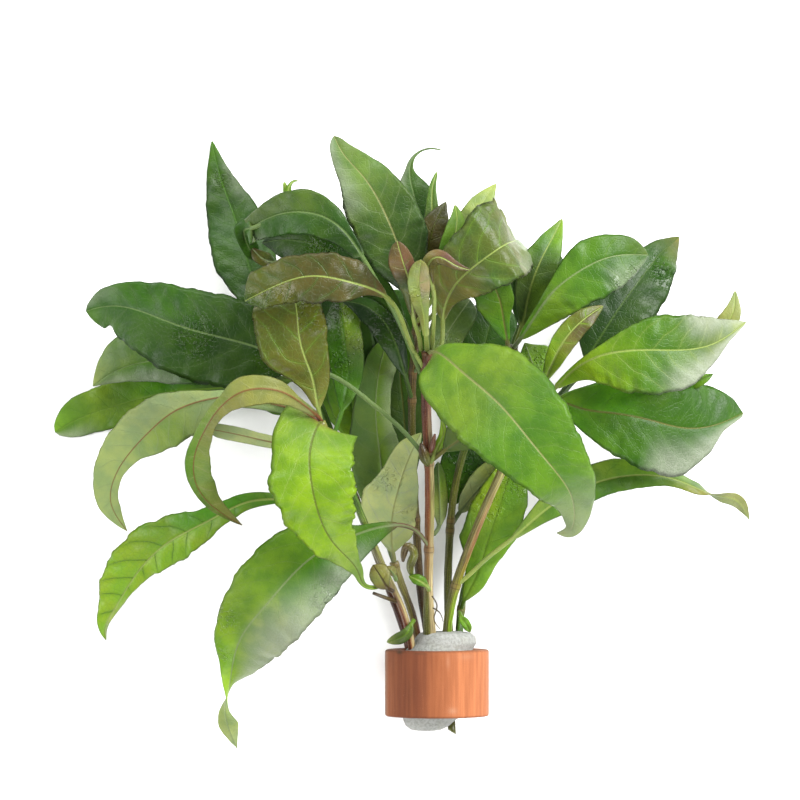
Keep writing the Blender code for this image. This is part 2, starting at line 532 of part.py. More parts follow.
def leaf_mesh(leaf):
    """Vertices and faces of a leaf's closed solid, thickest at the midrib and the petiole."""
    points = placed(leaf["path"])
    first = leaf_start(leaf)
    blade = knots_of(points)[leaf["stalk"]]
    widest = max(leaf["left"] + leaf["right"])
    small = widest < NARROW_LEAF
    steps = leaf.get("steps", 5 if small else 6)
    stalk_steps = max(1, leaf["stalk"]) if blade - first > 0.04 else 0
    stalk = np.linspace(first, blade, stalk_steps + 1)[:-1]
    along = np.concatenate((stalk, np.linspace(max(first, blade), 1, steps + 1)))
    across = np.linspace(-1, 1, 3 if small else 5)
    surface, normal, share = leaf_surface(leaf, along, across)
    blade_thick = BLADE_THICK + (MARGIN_THICK - BLADE_THICK) * np.abs(across)[None, :]
    mix = np.clip(share * 6, 0, 1)[:, None]
    half = (STALK_THICK + (blade_thick - STALK_THICK) * mix) / 2
    top = surface + half[..., None] * normal
    foot = surface - half[..., None] * normal
    rows, columns = surface.shape[:2]
    verts = np.concatenate((top.reshape(-1, 3), foot.reshape(-1, 3)))
    under = rows * columns
    faces = []
    for i in range(rows - 1):
        for j in range(columns - 1):
            a = i * columns + j
            for face in ((a, a + columns, a + columns + 1), (a, a + columns + 1, a + 1)):
                faces.append(face)
                faces.append(tuple(under + k for k in reversed(face)))
    rim = ([i * columns for i in range(rows)]
           + [(rows - 1) * columns + j for j in range(1, columns)]
           + [i * columns + columns - 1 for i in range(rows - 2, -1, -1)]
           + [j for j in range(columns - 2, 0, -1)])
    for k, a in enumerate(rim):
        b = rim[(k + 1) % len(rim)]
        faces.append((b, a, a + under, b + under))
    return verts, faces


def tube_mesh(stem, extra=0.0):
    """Vertices and faces of a stem's tube, its foot cut on a slant where the stem is cut."""
    share = np.linspace(0, 1, STEM_STEPS + 1)
    points = placed(stem["path"])
    axis, radius = stem_line(stem, share)
    ahead = heading(points, share)
    side = unit(np.stack((-ahead[:, 1], ahead[:, 0], np.zeros(len(share))), axis=1))
    up = np.cross(ahead, side)
    angle = np.arange(STEM_SIDES) * 2 * math.pi / STEM_SIDES
    wide = (radius + extra)[:, None, None]
    axis[0] -= extra * ahead[0]
    rings = axis[:, None] + wide * (np.cos(angle)[None, :, None] * side[:, None]
                                    + np.sin(angle)[None, :, None] * up[:, None])
    if stem.get("cut") and not extra:
        slant = math.tan(math.radians(CUT_SLANT)) * stem["foot"] * MM
        rings[0] += slant * np.cos(angle)[:, None] * ahead[0]
    verts = rings.reshape(-1, 3)
    faces = [tuple(range(STEM_SIDES))[::-1]]
    for i in range(STEM_STEPS):
        for j in range(STEM_SIDES):
            a = i * STEM_SIDES + j
            b = i * STEM_SIDES + (j + 1) % STEM_SIDES
            faces.append((a, b, b + STEM_SIDES, a + STEM_SIDES))
    last = STEM_STEPS * STEM_SIDES
    faces.append(tuple(last + j for j in range(STEM_SIDES)))
    return verts, faces


def plug_mesh():
    """Vertices and faces of the foam plug along Z, a stack of circles with closed ends."""
    angle = np.arange(PLUG_SIDES) * 2 * math.pi / PLUG_SIDES
    verts = []
    for level, shift, radius in PLUG_CIRCLES:
        for a in angle:
            verts.append(((shift + radius * math.cos(a)) * MM, radius * math.sin(a) * MM, level * MM))
    faces = [tuple(range(PLUG_SIDES))[::-1]]
    for i in range(len(PLUG_CIRCLES) - 1):
        for j in range(PLUG_SIDES):
            a = i * PLUG_SIDES + j
            b = i * PLUG_SIDES + (j + 1) % PLUG_SIDES
            faces.append((a, b, b + PLUG_SIDES, a + PLUG_SIDES))
    last = (len(PLUG_CIRCLES) - 1) * PLUG_SIDES
    faces.append(tuple(last + j for j in range(PLUG_SIDES)))
    return np.array(verts), faces


def ring_profile():
    """Closed outline of the ring's wall as radius and height, with its small chamfers."""
    outer, bore, edge = RING_OUTER / 2, RING_BORE / 2, RING_EDGE
    return [(outer, edge), (outer, RING_HEIGHT - edge), (outer - edge, RING_HEIGHT),
            (bore + edge, RING_HEIGHT), (bore, RING_HEIGHT - edge), (bore, edge),
            (bore + edge, 0), (outer - edge, 0)]


def ring_place():
    """World point of the centre of the ring's foot."""
    x = place(RING_AXIS_SEEN, PHOTO_MIDDLE, RING_OUTER / 2)[0]
    y = place(PHOTO_MIDDLE, RING_FOOT_SEEN, RING_OUTER / 2)[1]
    return x, y, RING_OUTER / 2


def material(name, tint, roughness):
    """Material of one colour and roughness."""
    made = bpy.data.materials.new(name)
    made.use_nodes = True
    shader = made.node_tree.nodes["Principled BSDF"]
    shader.inputs["Base Color"].default_value = (*TINTS[tint], 1)
    shader.inputs["Roughness"].default_value = roughness
    shader.inputs["Metallic"].default_value = 0
    return made


def add(name, mesh, location, holder, finish=None):
    """Smooth object of a mesh, at its location, held by the bunch's empty."""
    if finish:
        mesh.materials.append(finish)
    mesh.shade_smooth()
    obj = bpy.data.objects.new(name, mesh)
    obj.location = location
    obj.parent = holder
    bpy.context.scene.collection.objects.link(obj)
    return obj


def grown(name, shape, foot):
    """Mesh of a leaf or a stem, with its origin at the foot that it grows from."""
    verts, faces = shape
    mesh = bpy.data.meshes.new(name)
    mesh.from_pydata([tuple(v) for v in verts - np.array(foot)], [], faces)
    return mesh


def turned_ring():
    """Mesh of the ring: its profile spun about Z, half a step off so that a facet lies lowest."""
    form = bmesh.new()
    reach = 1 / math.cos(math.pi / RING_SIDES)
    verts = [form.verts.new((radius * reach, 0, height)) for radius, height in ring_profile()]
    edges = [form.edges.new((verts[j - 1], verts[j])) for j in range(len(verts))]
    half_step = Matrix.Rotation(math.pi / RING_SIDES, 3, "Z")
    bmesh.ops.rotate(form, verts=verts, cent=(0, 0, 0), matrix=half_step)
    bmesh.ops.spin(form, geom=verts + edges, cent=(0, 0, 0), axis=(0, 0, 1), angle=2 * math.pi,
                   steps=RING_SIDES, use_merge=True)
    bmesh.ops.recalc_face_normals(form, faces=form.faces)
    mesh = bpy.data.meshes.new("ring")
    form.to_mesh(mesh)
    form.free()
    return mesh


def build():
    """Makes every sub-part and returns the empty that holds them."""
    holder = bpy.data.objects.new("bunch", None)
    bpy.context.scene.collection.objects.link(holder)
    for name, leaf in LEAVES.items():
        foot = place_mm(leaf["path"][0])
        finish = material(name + "_skin", leaf["tint"], LEAF_ROUGHNESS)
        add(name, grown(name, leaf_mesh(leaf), foot), foot, holder, finish)
    ring = add("ring", turned_ring(), ring_place(), holder,
               material("fired_clay", "terracotta", RING_ROUGHNESS))
    ring.rotation_euler = ON_ITS_SIDE
    plug = add("foam_plug", grown("foam_plug", plug_mesh(), (0, 0, 0)), ring_place(), holder,
               material("foam", "foam", FOAM_ROUGHNESS))
    plug.rotation_euler = ON_ITS_SIDE
    for name, stem in STEMS.items():
        foot = place_mm(stem["path"][0])
        finish = material(name + "_skin", "stem", STEM_ROUGHNESS)
        add(name, grown(name, tube_mesh(stem), foot), foot, holder, finish)
        bore_name = name.replace("stem", "bore")
        cutter = add(bore_name, grown(bore_name, tube_mesh(stem, GAP), foot), foot, holder)
        cutter.hide_render = True
        cutter.display_type = "WIRE"
        bore = plug.modifiers.new(bore_name, "BOOLEAN")
        bore.solver = "EXACT"
        bore.operation = "DIFFERENCE"
        bore.object = cutter
    return holder


def stand(holder):
    """Moves the bunch so that its box stands on the origin."""
    bpy.context.view_layer.update()
    points = []
    for obj in holder.children:
        if not obj.hide_render:
            points += [obj.matrix_world @ vert.co for vert in obj.data.vertices]
    low = np.min(points, axis=0)
    high = np.max(points, axis=0)
    holder.location = (-(low[0] + high[0]) / 2, -(low[1] + high[1]) / 2, -low[2])


def main():
    for obj in list(bpy.data.objects):
        bpy.data.objects.remove(obj)
    stand(build())


if __name__ == "__main__":
    main()
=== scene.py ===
import math

import bpy
import numpy as np
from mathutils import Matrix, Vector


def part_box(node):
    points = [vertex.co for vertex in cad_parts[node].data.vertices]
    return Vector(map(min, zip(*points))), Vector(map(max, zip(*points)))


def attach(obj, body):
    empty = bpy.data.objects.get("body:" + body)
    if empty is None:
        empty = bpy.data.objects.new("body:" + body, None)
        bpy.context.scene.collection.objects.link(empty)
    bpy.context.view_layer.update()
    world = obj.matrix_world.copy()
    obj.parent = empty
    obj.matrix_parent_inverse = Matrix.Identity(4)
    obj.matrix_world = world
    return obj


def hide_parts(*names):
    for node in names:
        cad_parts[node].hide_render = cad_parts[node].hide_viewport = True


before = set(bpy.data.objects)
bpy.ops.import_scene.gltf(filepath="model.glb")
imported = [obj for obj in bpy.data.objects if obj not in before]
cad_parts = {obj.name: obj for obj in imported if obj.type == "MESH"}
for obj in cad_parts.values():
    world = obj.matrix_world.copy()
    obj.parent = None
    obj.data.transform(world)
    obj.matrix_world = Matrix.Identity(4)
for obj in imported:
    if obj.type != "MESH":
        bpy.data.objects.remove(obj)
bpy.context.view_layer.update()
mm = 0.001
print("frame loaded")

# Everything is placed by what the photograph shows: its pixel across and down, and a height in mm.
photo = dict(
    size=800,           # pixels on each side
    cameraHeight=2.0,   # metres above the surface, straight down
    ringSeen=104,       # pixels across the ring, which is 35 mm wide
    ringAxisSeen=437,   # pixel of the ring's axis
    ringFootSeen=716,   # pixel of the ring's lower rim
    sensor=36.0,        # mm
)
ring = dict(outer=35.0, bore=24.0, height=22.4, edge=0.8)   # mm

# The colours of the plant, clay and foam, as they look in soft daylight.
palette = dict(
    yew="2a4717", bottle="26421f", pine="345522", ivy="395c1e", forest="456f2a", fern="447819",
    glade="4f7032", moss="5c7d34", leaf="568a22", clover="559a19", jade="659a2e", grass="70a428",
    meadow="71c227", apple="84ae36", lime="90bf26", kiwi="92cb3d", sap="a4cb34", spring="b2e839",
    # frost keeps pale undersides bright where they lie in shade: partly their colour, partly
    # painted light
    lemon="bfd56e", frost="e6f8a8", pistachio="bed884", pea="91b44b", fennel="799f4d",
    willow="6b8842", sage="88a760", celadon="a5bb7c", mist="cdd6bc", reed="a3a855",
    olive="707a2c", khaki="93904a", bronze="6b5d34", drab="5e5c2d", umber="503e24",
    walnut="7e6843", maroon="64342a", rust="9c5a38", rose="94695a", tan="b48a56",
    cream="dccf9e", straw="bcbf78",
    # the clay's pale, lit-side, dark and grey tones also paint the ring's light and shade
    clayDark="a0562e", clay="c4713f", clayLight="ec9058", clayPale="f0b48e",
    clayGrey="c0a488", clayEdge="7c4526",
    wool="e4e6e0", woolGrey="c4c7be", woolDamp="cfd0b4")
lightShare = 0.32   # how much of a seen colour is the surface's own, in this light

# Every stem runs up its path. radii are in mm and tones its colours, both spread evenly from its
# foot to its top; the right tones are those of its right side, which faces the brightest soft
# box: mostly a painted highlight, and on one stem a darker side instead.
stems = {
    "stem_main": dict(
        radii=[2.1, 2.1, 2.0, 1.5, 1.45, 1.55, 1.5, 1.6, 1.6, 1.5],
        tones="khaki olive olive tan rust rust maroon maroon",
        rightTonesAndHighlight="cream cream cream cream straw cream rose maroon",
        path=[(430, 705, 19.5), (430, 650, 21), (428.5, 600, 26), (429, 549, 31), (429, 463, 36),
              (426, 400, 41), (427, 352, 46)]),
    "stem_left_shoot": dict(
        radii=[1.2, 1.2, 1.1, 1.2, 1.2, 1.2],
        tones="rust rust khaki leaf apple", rightTonesAndHighlight="rose cream straw jade apple",
        path=[(412, 705, 20.5), (412, 650, 21.5), (402, 609, 26), (389, 580, 32), (357, 505, 46),
              (321, 422, 56)]),
    "stem_left_inner": dict(
        radii=[1.4, 1.3, 1.2, 1.3],
        tones="tan tan khaki straw", rightTonesAndHighlight="umber rust umber straw",
        path=[(420, 705, 15.5), (419, 650, 16.5), (411, 610, 18), (401, 583, 20), (394, 562, 22)]),
    "stem_left_rear": dict(
        radii=[1.3, 1.2, 1.1],
        tones="rust maroon olive leaf leaf", rightTonesAndHighlight="rose rust olive leaf leaf",
        path=[(412, 705, 14.5), (409, 650, 14.5), (394, 602, 14), (371, 540, 14), (345, 470, 14),
              (318, 400, 15), (290, 342, 17)]),
    "stem_centre_rear": dict(
        radii=[1.4, 1.3, 1.2],
        tones="umber umber bronze olive bronze olive",
        path=[(430, 705, 13.2), (430, 650, 13.2), (422, 600, 14), (417, 540, 16), (413, 470, 19),
              (412, 400, 23), (415, 340, 29), (419, 304, 34)]),
    "stem_right_shoot": dict(
        radii=[1.5, 1.5, 1.4, 1.4],
        tones="olive olive khaki khaki khaki", rightTonesAndHighlight="tan lime tan straw khaki",
        path=[(446, 705, 19.5), (446, 650, 20), (449, 615, 22), (456, 585, 23), (470, 545, 27),
              (502, 471, 36), (545, 392, 46)]),
    "stem_right_rear": dict(
        radii=[1.3, 1.3, 1.2, 1.2], cut=True,
        tones="olive olive olive olive leaf leaf",
        path=[(452, 732, 16.5), (451, 712, 15), (450.5, 690, 13), (450, 650, 13), (448, 600, 13),
              (449.5, 540, 14), (453, 500, 16), (475, 420, 22), (503, 365, 33), (514, 347, 38)]),
    "stem_right_low": dict(
        radii=[1.3, 1.2, 1.1],
        tones="leaf leaf leaf forest forest",
        path=[(459, 705, 15), (459, 650, 14.5), (461, 610, 13), (480, 540, 10), (515, 460, 11),
              (555, 402, 14), (577, 376, 17)]),
}

# Every leaf grows on a stem, and its path runs from the stem's axis to the leaf's tip.
# left and right are half widths in mm, spread evenly from the blade's base to its tip; turn is
# the blade's roll in degrees. stalk counts the petiole's points. tones run from base to tip, and
# the left tones are the left side's own: partly its colour, partly painted light and shade where
# the two halves of a folded blade face the light differently. lobe and horn are (left, right) in
# mm: how far the margins reach back past the base and forward past the tip. A nick is (side,
# share, length, depth in mm).
# the painted sheen is (side, from, to, amount): a pale highlight painted into the colour; wet is
# (share, side, size in mm), wave is (mm, length in mm).
leaves = {
    "leaf_front": dict(
        stem="stem_main", slot="green", stalk=1, finish="waxy",
        tones="kiwi apple jade grass celadon", rib="straw", vein="apple", paintedSheen=[(0, 0.8, 1, 0.35)],
        wave=(0.5, 17), lobe=(1, 4.5),
        path=[(427, 353, 45.5), (435, 352, 51), (460, 370, 62), (500, 405, 73), (537, 449, 76),
              (568, 489, 70), (574, 509, 63), (567, 532, 57), (557, 533, 56)],
        left=[1, 9, 16, 17.5, 16.8, 13.5, 10, 5.6, 0.4],
        right=[6, 14, 16.6, 17.5, 15.4, 11.8, 9, 4.5, 0.4]),
    "leaf_lime": dict(
        stem="stem_left_shoot", slot="lime", stalk=1, finish="waxy",
        tones="apple lime lime pea spring", rib="olive", vein="lemon", petiole="khaki",
        wave=(1.3, 13), ripple=0.07, lobe=(4.6, 1.6),
        nicks=[(-1, 0.18, 3, 1.3)],
        path=[(321, 423, 56), (319, 424, 60), (311, 445, 66), (311, 480, 70), (319, 515, 68),
              (335, 545, 62), (358, 572, 55), (366, 586, 50), (377, 587, 48), (391, 577, 48)],
        left=[13, 14, 14.4, 13.4, 10.9, 7.2, 2.2, 0.8, 0.6],
        right=[12, 13.2, 13.8, 12.4, 8.9, 5.6, 2.5, 0.8, 0.6]),
    "leaf_low_left": dict(
        stem="stem_main", slot="green", stalk=2, finish="waxy",
        tones="leaf grass apple spring frost", leftTonesAndShading="leaf clover celadon lime frost",
        rib="celadon", vein="apple", petiole="rose", paintedSheen=[(1, 0.15, 0.75, 0.75)],
        wet=[(0.55, -0.8, 4), (0.65, -0.7, 3), (0.3, 0.9, 5)], wave=(0.5, 19),
        path=[(430, 549, 31), (415, 530, 37), (397, 525, 42), (355, 535, 46), (311, 558, 49),
              (267, 604, 47), (240, 640, 38), (229, 688, 25), (226, 715, 16), (237, 748, 7)],
        left=[1, 7, 12.5, 15, 15.4, 14.8, 13, 8, 1.6, 3.4, 0.3],
        right=[1, 2.5, 9.6, 13.8, 14.6, 12.4, 8.6, 3.8, 2.2, 3.8, 0.3],
        turn=[0, 0, 0, 0, 0, 0, 0, -10, -90, -160, -175]),
    "leaf_far_left": dict(
        stem="stem_left_rear", slot="green", stalk=2, finish="young",
        tones="pea meadow kiwi spring spring", leftTonesAndShading="clover kiwi spring spring frost",
        rib="lemon", vein="leaf", wave=(0.9, 11), ripple=0.05,
        path=[(356, 498, 14), (330, 497, 24), (290, 499, 28), (250, 501.5, 27), (210, 520, 23),
              (166, 544, 17), (138, 572, 10.5), (115, 608, 4.4), (105, 632, 1.6), (106, 640, 0.6)],
        left=[1, 2.1, 3, 4.2, 6.6, 7.6, 6.2, 3.7, 2.1, 1.2, 0.3],
        right=[1, 2.6, 3.4, 4.2, 6.4, 8.8, 10.6, 10.6, 9, 4.8, 0.3]),
    "leaf_arching_left": dict(
        stem="stem_left_shoot", slot="pale", stalk=1, finish="under",
        tones="willow reed pea grass olive", leftTonesAndShading="straw reed reed pea khaki", rib="rust",
        vein="straw", wave=(0.6, 12), curl=0.12,
        path=[(321, 421, 56), (316, 415, 61), (300, 402, 68), (275, 390, 75), (248, 390, 77),
              (226, 402, 72), (205, 430, 60), (194, 460, 50), (197, 486, 44), (209, 503, 41),
              (242, 525, 38)],
        left=[1, 2.7, 4.6, 5.4, 3.4, 2.6, 3.8, 5.6, 6, 3.4, 0.3],
        right=[1, 1.2, 3.6, 4.8, 2.8, 2.8, 2.6, 3, 2, 1.4, 0.3]),
    "leaf_pale_left": dict(
        stem="stem_left_shoot", slot="pale", stalk=1, finish="under",
        tones="fern pistachio celadon pistachio pistachio",
        leftTonesAndShading="fern celadon pea pistachio pistachio", rib="rust", vein="celadon",
        wave=(0.5, 15),
        path=[(322, 426, 55), (312, 418, 52), (270, 403, 56), (235, 397, 57), (205, 400, 52),
              (175, 411, 46), (150, 431, 38), (128, 455, 30), (113, 482, 22), (111, 503, 17),
              (127, 531, 12)],
        left=[1, 2.6, 3.2, 5.2, 9.8, 10, 7.6, 3.6, 2.4, 2.8, 0.3],
        right=[1, 2.4, 2.1, 2.5, 4.9, 8.4, 9.8, 9.3, 7.4, 4.3, 0.3]),
    "leaf_left_floor": dict(
        stem="stem_left_rear", slot="dark", stalk=1, blunt=0.1, finish="waxy",
        tones="willow glade clover apple kiwi", leftTonesAndShading="willow glade apple apple grass",
        rib="apple", vein="jade", paintedSheen=[(1, 0.9, 1, 0.6)], wave=(0.7, 16),
        path=[(308, 378, 15.6), (290, 380, 13), (220, 388, 8), (160, 394, 4.6), (115, 406, 2.4),
              (80, 418, 1), (55, 432, 0.5)],
        left=[1, 4, 8, 9, 8.4, 7.6, 7.2, 6.4, 4.4],
        right=[1, 4, 8, 9, 8.6, 8.4, 8.2, 7.2, 4.4]),
    "leaf_left_under": dict(
        stem="stem_left_rear", slot="dark", stalk=1, finish="waxy",
        tones="fern fern fern fennel pistachio", leftTonesAndShading="fern fern fern leaf pea", rib="sage",
        vein="sage", paintedSheen=[(1, 0.55, 1, 0.5)], wave=(0.6, 18),
        path=[(299, 359, 16.4), (280, 355, 21), (240, 352, 21), (180, 358, 18), (135, 364, 14),
              (110, 374, 11), (93, 386, 8)],
        left=[1, 7, 10, 9, 7, 4.6, 0.4],
        right=[1, 8, 12, 14, 13.6, 9, 0.4]),
    "leaf_big_left": dict(
        stem="stem_main", slot="dark", stalk=4, blunt=0.1, finish="waxy",
        tones="yew ivy forest fern fern", leftTonesAndShading="ivy ivy ivy forest leaf", rib="sage",
        vein="moss", paintedSheen=[(-1, 0.9, 1, 0.3)], wet=[(0.12, 0.1, 5), (0.45, 0.1, 6)], wave=(0.7, 21),
        nicks=[(1, 0.865, 3.5, 3)],
        path=[(429, 463, 36), (408, 436, 39), (370, 402, 42), (333, 376, 44), (300, 364, 46),
              (265, 350, 47), (220, 337, 46), (180, 326, 43), (140, 311, 38), (110, 306, 31),
              (86, 311, 25)],
        left=[1, 11, 15.5, 16.5, 16, 14, 11.5, 9.4, 5],
        right=[1, 10, 13.8, 13.9, 13.2, 12, 9.4, 6.8, 3]),
    "leaf_red_left": dict(
        stem="stem_main", slot="red", stalk=3, blunt=0.12, finish="young",
        tones="walnut drab drab olive moss", rib="lemon", vein="moss",
        wet=[(0.7, 0.55, 3.5), (0.82, 0.45, 3), (0.92, 0.5, 4)], wave=(0.8, 12), ripple=0.06,
        path=[(425, 370, 44.3), (411, 345, 47.5), (400, 316, 58), (385, 296, 66), (350, 282, 74),
              (310, 276, 76), (275, 286, 72), (245, 301, 65)],
        left=[1, 2.5, 6, 8, 9, 8, 6.4, 5.4, 3],
        right=[1, 4, 7.5, 8, 7.5, 7.5, 7.5, 7, 3]),
    "leaf_red_hanging": dict(
        stem="stem_left_shoot", slot="red", stalk=1, finish="young",
        tones="reed olive olive olive olive", rib="lemon", vein="apple", wet=[(0.6, -0.5, 5)],
        wave=(0.9, 10),
        path=[(321, 421, 56), (318, 408, 58), (313, 380, 60), (301, 345, 62), (297, 315, 62),
              (292, 285, 58), (285, 262, 52)],
        left=[1, 4, 8, 13, 14.5, 14.5, 13, 8, 0.5],
        right=[1, 4.5, 7, 8.5, 9.5, 8.5, 8, 5, 0.5]),
    "leaf_patterned": dict(
        stem="stem_main", slot="red", stalk=2, blunt=0.05, finish="young",
        tones="olive khaki moss olive fennel", rib="lemon", vein="apple", paintedSheen=[(-1, 0.75, 1, 0.6)],
        wave=(0.9, 9), ripple=0.035, horn=(1, 9),
        path=[(430, 370, 44.4), (441, 346, 46.5), (443, 319, 53), (452, 290, 62), (480, 262, 71),
              (501, 247, 71), (511, 242, 62), (516, 240, 48)],
        left=[1, 5, 9.5, 11, 13, 15.4, 15.2, 12.4, 6.5],
        right=[1, 3, 6.6, 9.4, 11, 12, 12, 11, 8.5]),
    "leaf_shoot_left": dict(
        stem="stem_main", slot="red", stalk=2, blunt=0.12, finish="young",
        tones="walnut glade rose walnut", leftTonesAndShading="drab glade walnut bronze", rib="lemon",
        vein="khaki",
        path=[(421, 350, 46), (418, 333, 57), (413, 315, 65), (411, 290, 70), (404, 265, 76),
              (397, 241, 78)],
        left=[1, 2.6, 4, 4.8, 2.4],
        right=[1, 2.4, 3.4, 3.6, 1.6]),
    "leaf_shoot_centre": dict(
        stem="stem_main", slot="pale", stalk=1, blunt=0.12, finish="young",
        tones="frost lemon cream reed", leftTonesAndShading="lemon reed lemon reed", rib="lemon",
        vein="lemon", wet=[(0.6, 0.2, 3)],
        path=[(427, 351, 46), (426, 336, 58), (424, 315, 66), (420, 295, 73), (419, 275, 79),
              (421, 260, 82)],
        left=[1, 1.8, 3.2, 3.7, 2.6],
        right=[1, 1.4, 2.8, 3.7, 2.6]),
    "leaf_shoot_right": dict(
        stem="stem_main", slot="red", stalk=3, finish="young", tones="bronze khaki bronze bronze",
        leftTonesAndShading="walnut reed rose bronze", rib="lemon", vein="khaki",
        path=[(432, 350, 46), (433, 331, 58), (434, 310, 66), (432, 285, 72), (428, 266, 77),
              (438, 257, 81), (455, 265, 80), (470, 270, 78)],
        left=[1, 2.2, 2.6, 1.6, 0.4],
        right=[1, 2.2, 2.6, 1.6, 0.4]),
    "leaf_top": dict(
        stem="stem_centre_rear", slot="dark", stalk=1, blunt=0.05, finish="waxy",
        tones="bottle glade glade fennel willow", leftTonesAndShading="bottle glade moss fennel fennel",
        rib="straw", vein="celadon", paintedSheen=[(1, 0.6, 0.95, 0.5)], wave=(0.9, 12),
        path=[(418, 310, 33.5), (415, 296, 41), (405, 265, 47), (393, 232, 50), (380, 203, 51),
              (362, 175, 50), (345, 156, 48), (334, 136, 44)],
        left=[1, 6.5, 10.5, 11.8, 12.3, 11.5, 8, 4.6, 1.6],
        right=[1, 5, 9.2, 11.2, 10.8, 9, 6.6, 4.2, 1.4]),
    "leaf_dark_arch": dict(
        stem="stem_main", slot="dark", stalk=4, blunt=0.01, finish="waxy",
        tones="yew forest moss moss willow", leftTonesAndShading="pine ivy forest fern fern", rib="sage",
        vein="moss", paintedSheen=[(1, 0.9, 1, 0.4)], wave=(0.6, 15),
        path=[(425, 384, 42.5), (413, 355, 43), (396, 316, 47.5), (376, 280, 52), (362, 256, 54.5),
              (345, 232, 56.5), (322, 216, 57), (292, 212, 55), (262, 221, 47), (249, 229, 40)],
        left=[2.5, 5, 7.2, 7.6, 7.2, 6.2, 4.4],
        right=[1.2, 2.2, 5.4, 7.6, 6.3, 4.4, 3.4]),
    "leaf_dark_below_arch": dict(
        stem="stem_centre_rear", slot="dark", stalk=1, finish="waxy", tones="leaf forest ivy pine",
        rib="moss", vein="moss", wet=[(0.6, 0.2, 5)], wave=(0.6, 13),
        path=[(414, 350, 28), (402, 318, 36), (372, 285, 39), (345, 260, 39), (310, 243, 37),
              (280, 240, 33), (262, 243, 28)],
        left=[1, 4.4, 6.4, 7, 7, 0.4],
        right=[1, 4.6, 6.4, 6, 4.8, 0.4]),
    "leaf_top_left": dict(
        stem="stem_left_rear", slot="dark", stalk=1, finish="waxy",
        tones="forest forest forest ivy leaf", rib="leaf", vein="leaf",
        paintedSheen=[(-1, 0.72, 0.84, 0.25)], wet=[(0.8, 0, 3)], wave=(0.7, 17),
        path=[(291, 345, 17), (277, 328, 22), (258, 292, 20), (243, 245, 14), (233, 212, 9),
              (222, 182, 5), (212, 141, 0.5)],
        left=[1, 7.4, 11.2, 9.6, 5.3, 0.3],
        right=[1, 6.8, 10.2, 8.4, 4.4, 0.3]),
    "leaf_lime_tip": dict(
        stem="stem_left_rear", slot="lime", stalk=1, finish="waxy", tones="leaf apple lime",
        rib="lemon", vein="lemon",
        path=[(293, 349, 16.8), (300, 320, 12), (298, 240, 12), (290, 207, 14), (287, 193, 15),
              (284, 182, 14)],
        left=[1, 3.2, 3.6, 2.8, 0.5],
        right=[1, 3.2, 3.6, 2.6, 0.5]),
    "leaf_top_behind": dict(
        stem="stem_centre_rear", slot="dark", stalk=1, finish="waxy", tones="forest forest fennel",
        rib="sage", vein="moss", paintedSheen=[(1, 0.5, 1, 0.4)],
        path=[(419, 304, 34), (421, 290, 34.5), (424, 260, 35), (420, 225, 34.5), (414, 195, 33),
              (410, 175, 31), (412, 160, 30), (421, 151, 29), (432, 148.5, 29), (441, 150, 28)],
        left=[1, 6, 8.5, 8, 5.6, 4.8, 1.4, 0.4, 0.3],
        right=[1, 5, 6, 6.5, 6.6, 5.2, 1.2, 0.4, 0.3]),
    "leaf_lime_small": dict(
        stem="stem_centre_rear", slot="lime", stalk=1, finish="waxy", tones="willow willow grass",
        rib="lemon", vein="lemon",
        path=[(420, 304, 34), (428, 285, 37.4), (432, 225, 38.8), (432, 200, 38), (433, 185, 37),
              (437, 172, 35)],
        left=[1, 2.6, 2.8, 1.8, 0.4],
        right=[1, 2.6, 2.8, 1.8, 0.4]),
    "leaf_lime_top": dict(
        stem="stem_centre_rear", slot="lime", stalk=1, finish="waxy", tones="sage sage lemon",
        rib="lemon", vein="celadon",
        path=[(416, 332, 30), (440, 305, 39), (458, 260, 48), (470, 228, 52), (481, 205, 51),
              (496, 184, 48)],
        left=[1, 5, 6, 4.7, 0.4],
        right=[1, 5, 7, 5.6, 0.4]),
    "leaf_dark_centre": dict(
        stem="stem_centre_rear", slot="dark", stalk=1, finish="young", tones="drab drab drab",
        rib="olive", vein="olive",
        path=[(418, 312, 33.3), (424, 300, 37), (427, 270, 41), (429, 245, 43), (436, 221, 42),
              (446, 202, 40)],
        left=[1, 5, 5.5, 4, 0.4],
        right=[1, 5, 5.5, 5, 0.4]),
    "leaf_lime_centre": dict(
        stem="stem_centre_rear", slot="lime", stalk=1, finish="waxy", tones="jade jade apple",
        rib="lemon", vein="apple",
        path=[(417, 322, 31.5), (432, 300, 48), (447, 270, 55), (454, 240, 57), (457, 217, 55),
              (455, 205, 53)],
        left=[1, 3.4, 4.4, 3.6, 0.4],
        right=[1, 3.4, 4.4, 3.6, 0.4]),
    "leaf_round": dict(
        stem="stem_right_rear", slot="green", stalk=1, blunt=0.12, finish="waxy",
        tones="kiwi lime jade fern fern", leftTonesAndShading="meadow grass jade leaf willow", rib="celadon",
        vein="apple", paintedSheen=[(-1, 0.75, 1, 0.45)], wet=[(0.75, -0.85, 2.5), (0.9, -0.8, 2.5)],
        wave=(0.4, 16),
        path=[(514, 347, 38), (521, 338, 45), (534, 318, 51), (552, 293, 56), (578, 272, 58),
              (610, 257, 56), (648, 255, 50)],
        left=[1, 1.5, 1.6, 2.8, 5.6, 8.4, 7.8, 6, 3],
        right=[1, 4.4, 7.8, 10.2, 11, 11.7, 11.2, 8.6, 3.6]),
    "leaf_tall_right": dict(
        stem="stem_right_low", slot="dark", stalk=1, finish="waxy",
        tones="ivy ivy ivy forest khaki", leftTonesAndShading="pine pine pine forest olive", rib="moss",
        vein="forest", wet=[(0.72, -0.6, 5)], wave=(0.6, 18),
        path=[(576, 377, 16.8), (586, 360, 18), (600, 338, 18.5), (620, 307, 17), (642, 277, 13),
              (660, 254, 7.6), (679, 237, 0.4)],
        left=[1, 8, 11, 11.4, 11, 9.3, 6.2, 3.5, 0.4],
